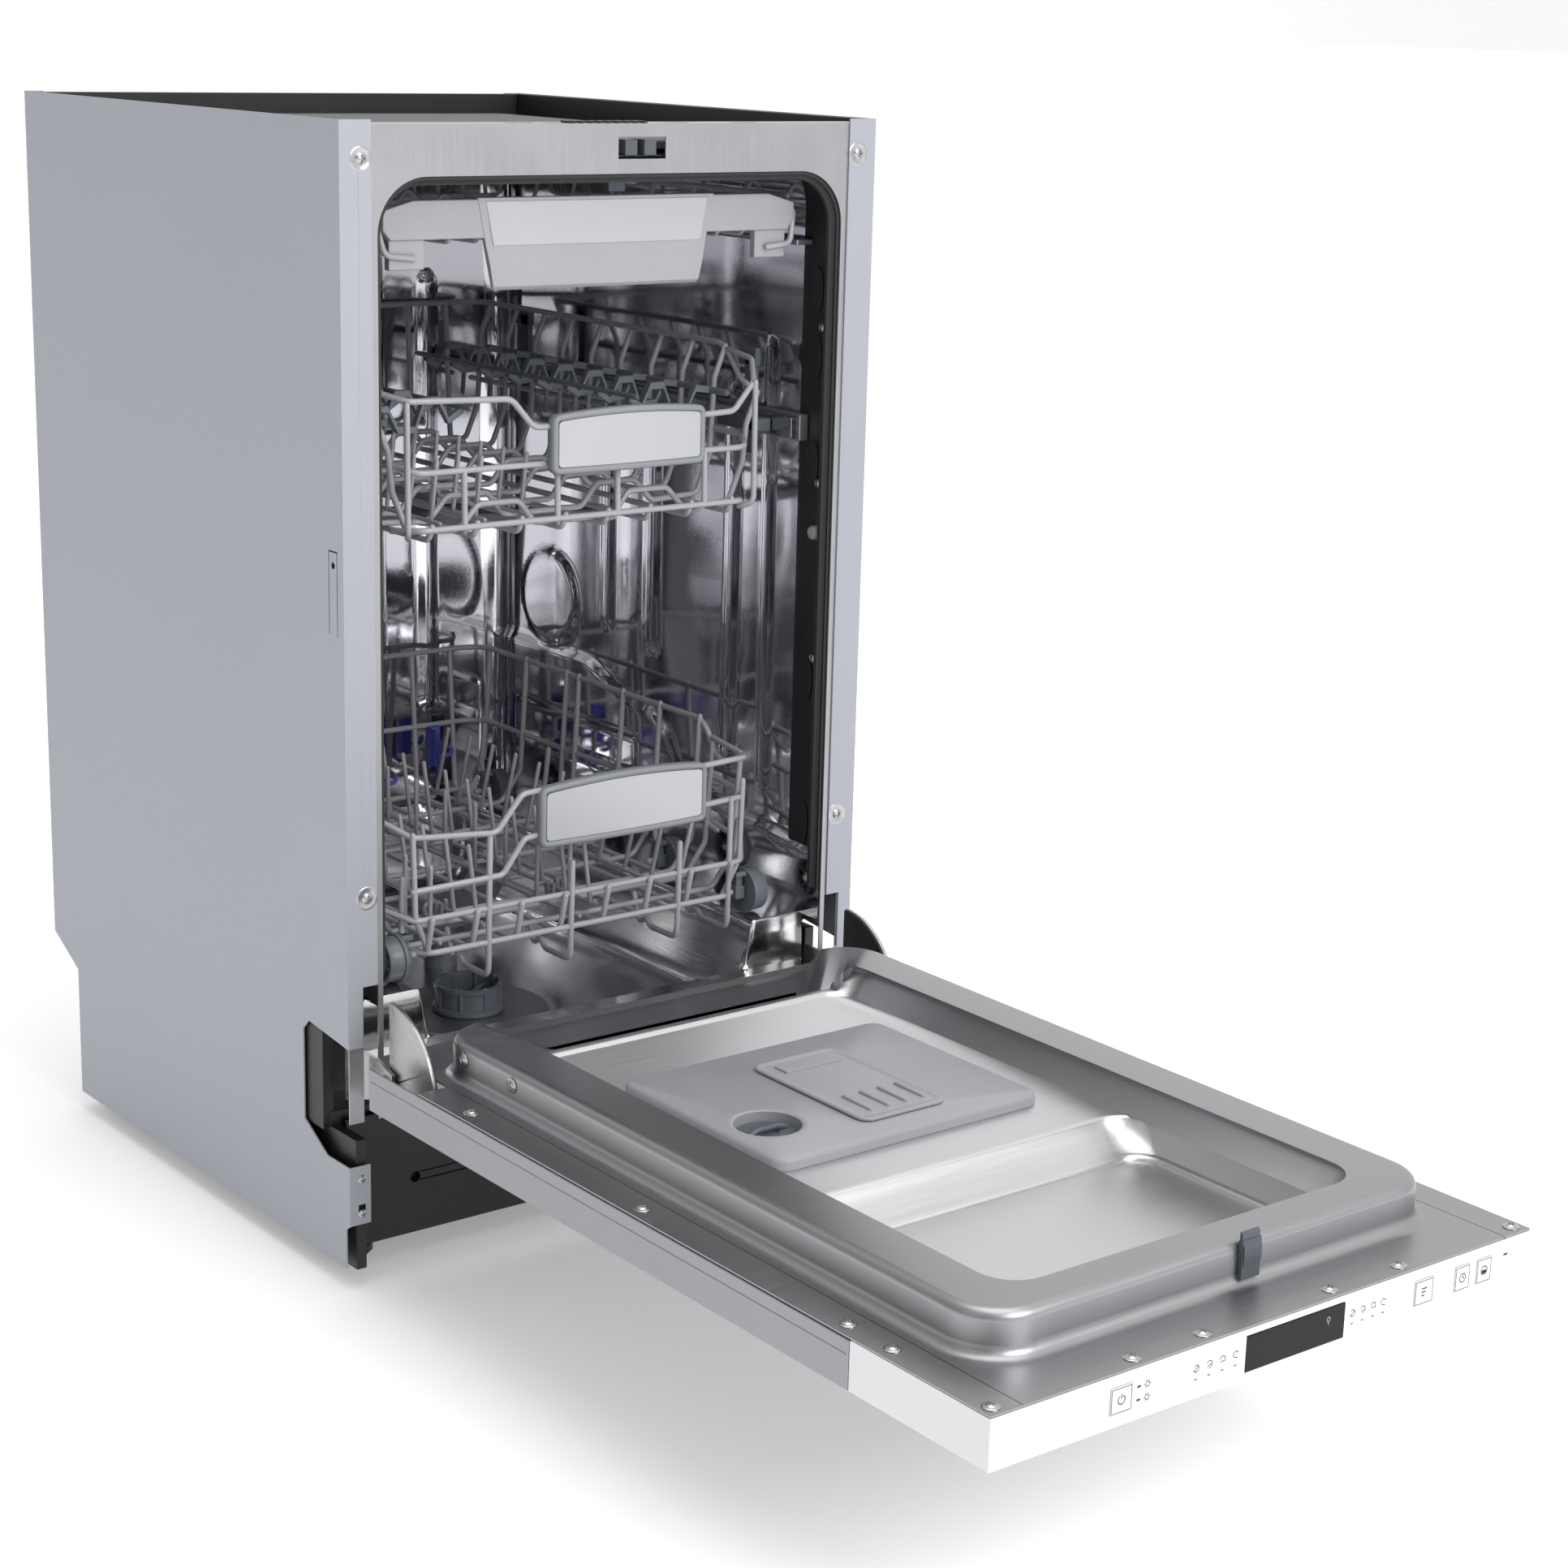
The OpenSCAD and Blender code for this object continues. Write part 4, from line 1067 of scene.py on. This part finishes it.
for side, x in (("left", -78), ("right", 22)):
    row = Shape()
    z = low_floor + 10.5
    row.tube([(x - 6, 50, z + 6), (x, 56, z), (x, 430, z), (x - 6, 436, z + 6)], thin_r, 5)
    for y in spread(64, 422, 12):
        tine(row, x, y, z - 1, -8, 0, 62)
    name = "plate_tines_" + side
    row.make("tine_row_" + side, name, coated_wire, [name], soft=70)


def tine_clips(y):
    """Two clips that hold the folding rows, one for each row."""
    clips = Shape()
    for x in (-78, 22):
        z = low_floor + 3
        clips.box((x - 6, y - 6, z - 1), (x + 6, y + 6, z + 4.4))
        for s in SIDES:
            for x0 in (x - 6, x + 2.6):
                clips.box((x0, y + min(s * 2.6, s * 6), z + 4), (x0 + 3.4, y + max(s * 2.6, s * 6), z + 13))
        clips.tube([(x - dx, y + 5, z + dz) for dx, dz in ((5, 2), (13, 2), (14, 11), (6, 12))], 1.7, 4)
    return clips


tine_clips(rack_back - 70).make("back_tine_clips", "lower_rack", grey_plastic, ["tine_clips"], bevel=0.6)
tine_clips(rack_front + 70).make("front_tine_clips", "lower_rack", grey_plastic, bevel=0.6)

# Tall latches on the rack's back wires.
latches = Shape()
for x, z, tall in ((8, 262, 18), (56, 229, 20), (112, 246, 36)):
    latches.box((x - 5, 434, z), (x + 5, 442, z + tall))
    latches.tube([(x - 3, 435, z + tall - 3), (x - 3, 426, z + tall - 1), (x - 3, 425, z - 6),
                  (x - 3, 435, z - 7)], 1.9, 4)
    latches.tube([(x + 4, 437, z + 8), (x + 17, 437, z + 8), (x + 18, 437, z + 13)], 2.0, 4)
latches.make("blue_side_latches", "lower_rack", blue_clip, bevel=0.7)


# ---- upper rack

up_floor = 526
up_rim = 644
up_wires = Shape()
# cross wires run over two humps, up the sides, and out to the rim in a kink
half_wire = [(0, 529), (34, 529), (48, 546), (82, 546), (98, 529), (140, 531), (152, 560), (155, 618),
             (165, up_rim - 2)]
for y in spread(58, 430, 10):
    lowered = 30 if y < 80 else 0
    sides = [(x, y, z - lowered if z > 610 else z) for x, z in half_wire]
    up_wires.tube([(-x, y, z) for x, y, z in reversed(sides[1:])] + sides, wire_r, 8)
for x in spread(-130, 130, 8):
    up_wires.tube([(x, 41, up_floor + 10), (x, 46, up_floor), (x, 438, up_floor), (x, 446, up_rim)],
                  wire_r, 12)
up_wires.tube(across([(-165, 70, 616), (-165, 80, 620), (-165, 100, up_rim), (-165, 447, up_rim)]),
              wire_r, 24)
up_wires.tube(across([(-155, 446, 580), (-155, 64, 580), (-142, 41, 574)]), wire_r, 14)
up_wires.tube(across([(-150, 62, up_floor + 6), (-138, 40, up_floor + 8)]), wire_r, 10)
grip_low, grip_high = span("upper_rack_handle")
left, right = grip_low.x + 8, grip_high.x - 8
up_wires.tube([(-165, 96, 634), (-165, 66, 630), (-148, 43, 624), (left - 38, 38, 622), (left - 20, 37, 601),
               (left, 36, 601)], wire_r, 12)
up_wires.tube([(165, 96, 640), (165, 66, 636), (150, 43, 622), (128, 38, 602), (right, 36, 601)], wire_r, 12)
for s in SIDES:
    for x in (150, 104, 26):
        up_wires.tube([(s * x, 41, 622 if x > 140 else 574), (s * x, 40, up_floor + 6),
                       (s * (x - 6), 50, up_floor + 2)], wire_r, 8)
for x in (-112, -75, -37):
    up_wires.tube([(x, 60, up_floor + 8), (x, 420, up_floor + 8)], 1.6)
    for y in spread(72, 408, 12):
        tine(up_wires, x, y, up_floor + 8, 0, -8, 44, 1.6)
up_wires.make("upper_rack_wires", "upper_rack", coated_wire, ["upper_rack"], soft=70)
handle("upper_handle_grip", "upper_handle_plate", "upper_rack_handle", 4)

runner_low, runner_high = span("rack_runners")
carry = Shape()
runner_mid = (runner_low.z + runner_high.z) / 2
for s in SIDES:
    for y0, y1 in ((60, 110), (370, 420)):
        carry.side_box(s, (166, 180.4), (y0, y1), (runner_mid - 5, runner_mid + 5))
        carry.side_box(s, (166, 171), (y0 + 4, y0 + 16), (runner_mid - 22, runner_mid + 54))
        carry.side_box(s, (166, 171), (y0 + 2, y0 + 24), (runner_mid + 44, runner_mid + 58))
carry.make("rack_hangers", "upper_rack", dark_plastic, bevel=1.2)

for side, s in (("left", -1), ("right", 1)):
    holders = Shape()
    z = 610
    holders.tube([(s * 148, 74, z), (s * 148, 406, z)], 2.6)
    holders.tube([(s * 72, 84, z), (s * 72, 396, z)], 2.0)
    for y in spread(96, 384, 8):
        middle = [(148, 0), (134, 2), (126, -13), (112, -14), (104, 6), (92, 6), (84, -9), (72, -2)]
        above = [(s * x, z + dz + 2.6) for x, dz in middle]
        below = [(s * x, z + dz - 2.6) for x, dz in reversed(middle)]
        loops = [[(x, y + w, h) for x, h in above + below] for w in (-3, 3)]
        holders.rings(loops)
        holders.tube([(s * 110, y, z - 14), (s * 112, y + 6, z - 34)], 1.9)
    name = "cup_shelf_" + side
    holders.make("stem_holders_" + side, name, blue_grey, [name], bevel=0.5)


# ---- cutlery tray

tray_low = span("cutlery_tray")[0]
tray_z = tray_low.z - 1.2 if tray_low.z > 729 else 728
tray = Shape()
for x in spread(-160, 160, 15):
    tray.tube([(x, 40, tray_z + 26), (x, 44, tray_z + 3), (x, 430, tray_z + 3), (x, 434, tray_z + 28)],
              thin_r, 6)
for y in spread(50, 426, 8):
    tray.tube(across([(-176, y, tray_z + 30), (-170, y, tray_z + 6), (-60, y, tray_z + 6),
                      (-50, y, tray_z + 16), (-40, y, tray_z + 6)]), thin_r, 5)
tray.tube(across([(-176, 42, tray_z + 30), (-176, 434, tray_z + 30)]), wire_r, 16)
for s in SIDES:
    tray.tube([(s * 176, 44, tray_z + 22), (s * 177, 36, tray_z + 20), (s * 172, 32, tray_z - 4),
               (s * 150, 31, tray_z - 6)], wire_r, 8)
tray.make("tray_wires", "cutlery_tray", coated_wire, ["cutlery_tray"], soft=70)

bar_low, bar_high = span("cutlery_tray_handle")
bar = Shape()
section = across([(-150, 0, 32.6), (-174, 0, 26), (-174, 0, 13), (-168, 0, 6)])
bar.rings([[(x, y, tray_z + z) for x, _, z in section] for y in (bar_high.y, bar_low.y + 3.4)])
for s in SIDES:
    bar.side_box(s, (140, 168), (bar_low.y + 6, bar_high.y), (tray_z - 14, tray_z + 9))
bar.make("tray_bar", "cutlery_tray", silver_plastic, ["cutlery_tray_handle"], bevel=1.2)


def grip_piece(name, half_width, section, material, bevel):
    """A bowed piece of the tray's grip, from (depth, height) points, narrower towards its foot."""
    piece = Shape()
    loops = []
    for x in spread(-half_width, half_width, 21):
        face_y = bar_low.y + 1.6 * (x / 100) ** 2
        loops.append([(x * (1 - 0.14 * (33.6 - height) / 68), face_y + back, tray_z + height)
                      for back, height in section])
    piece.rings(loops)
    piece.make(name, "cutlery_tray", material, bevel=bevel, soft=50)


# A flat plate above a lip that curls out.
grip_piece("tray_grip", 100, [(1.2, 33.6), (1.2, 1), (0.2, -12), (1.0, -27), (4.0, -30), (5.0, -20),
                              (5.4, 2), (7.6, 33.6)], silver_plastic, 0.8)
grip_piece("tray_plate", 94, [(0.7, 31), (0.3, 1), (2.4, 1), (2.8, 31)], plate_metal, 0.4)


# ---- studio

# A pale floor with low walls far away, so that no horizon shows.
far = 90000
floor = Shape()
floor.box((-far, -far, -40), (far, far, 0))
for s in SIDES:
    floor.box((s * far - 20, -far, -40), (s * far + 20, far, 6000))
    floor.box((-far, s * far - 20, -40), (far, s * far + 20, 6000))
mesh = bpy.data.meshes.new("studio_floor")
mesh.from_pydata([Vector(v) * MM for v in floor.verts], [], floor.faces)
mesh.materials.append(studio_floor)
ground = bpy.data.objects.new("studio_floor", mesh)
bpy.context.scene.collection.objects.link(ground)

world = bpy.data.worlds.new("studio")
bpy.context.scene.world = world
world.use_nodes = True
tree = world.node_tree
turned = add_node(tree, "VectorMath")
turned.operation = "DOT_PRODUCT"
turned.inputs[1].default_value = (0.85, -0.1, 0.35)
tree.links.new(add_node(tree, "TexCoord").outputs["Generated"], turned.inputs[0])
shade = add_node(tree, "MapRange", From_Min=-0.6, From_Max=0.42, To_Min=0.38, To_Max=1.0)
tree.links.new(turned.outputs["Value"], shade.inputs["Value"])
tree.links.new(shade.outputs["Result"], tree.nodes["Background"].inputs["Color"])


def soft_light(name, at, aim, size, watts):
    light = bpy.data.lights.new(name, "AREA")
    light.shape = "RECTANGLE"
    light.size, light.size_y = size
    light.energy = watts
    obj = bpy.data.objects.new(name, light)
    obj.location = at
    obj.rotation_euler = (Vector(aim) - Vector(at)).to_track_quat("-Z", "Y").to_euler()
    bpy.context.scene.collection.objects.link(obj)


soft_light("key", (0.4, -3.2, 2.2), (0, 0, 0.4), (1.8, 1.4), 60)
soft_light("side", (-2.8, -0.6, 1.8), (0, 0, 0.4), (1.6, 2.0), 3)
soft_light("overhead", (0, -0.6, 3.0), (0, -0.2, 0.2), (2.4, 2.4), 30)

# The camera stands where the photograph was taken from.
yaw, pitch, roll = (math.radians(a) for a in (38.251, -14.614, 1.576))
forward = Vector((math.sin(yaw) * math.cos(pitch), math.cos(yaw) * math.cos(pitch), math.sin(pitch)))
right = Vector((math.cos(yaw), -math.sin(yaw), 0))
up = right.cross(forward)
right, up = (right * math.cos(roll) + up * math.sin(roll), up * math.cos(roll) - right * math.sin(roll))
lens = bpy.data.cameras.new("camera")
lens.sensor_width = 36
lens.lens = 36 * 3678.6 / 1932
lens.clip_start = 0.05
lens.clip_end = 400
camera = bpy.data.objects.new("camera", lens)
camera.matrix_world = Matrix.Translation((-1.2039, -1.7239, 0.8935)) @ Matrix(
    (right, up, -forward)).transposed().to_4x4()
bpy.context.scene.collection.objects.link(camera)
bpy.context.scene.camera = camera
bpy.context.scene.view_settings.view_transform = "Standard"
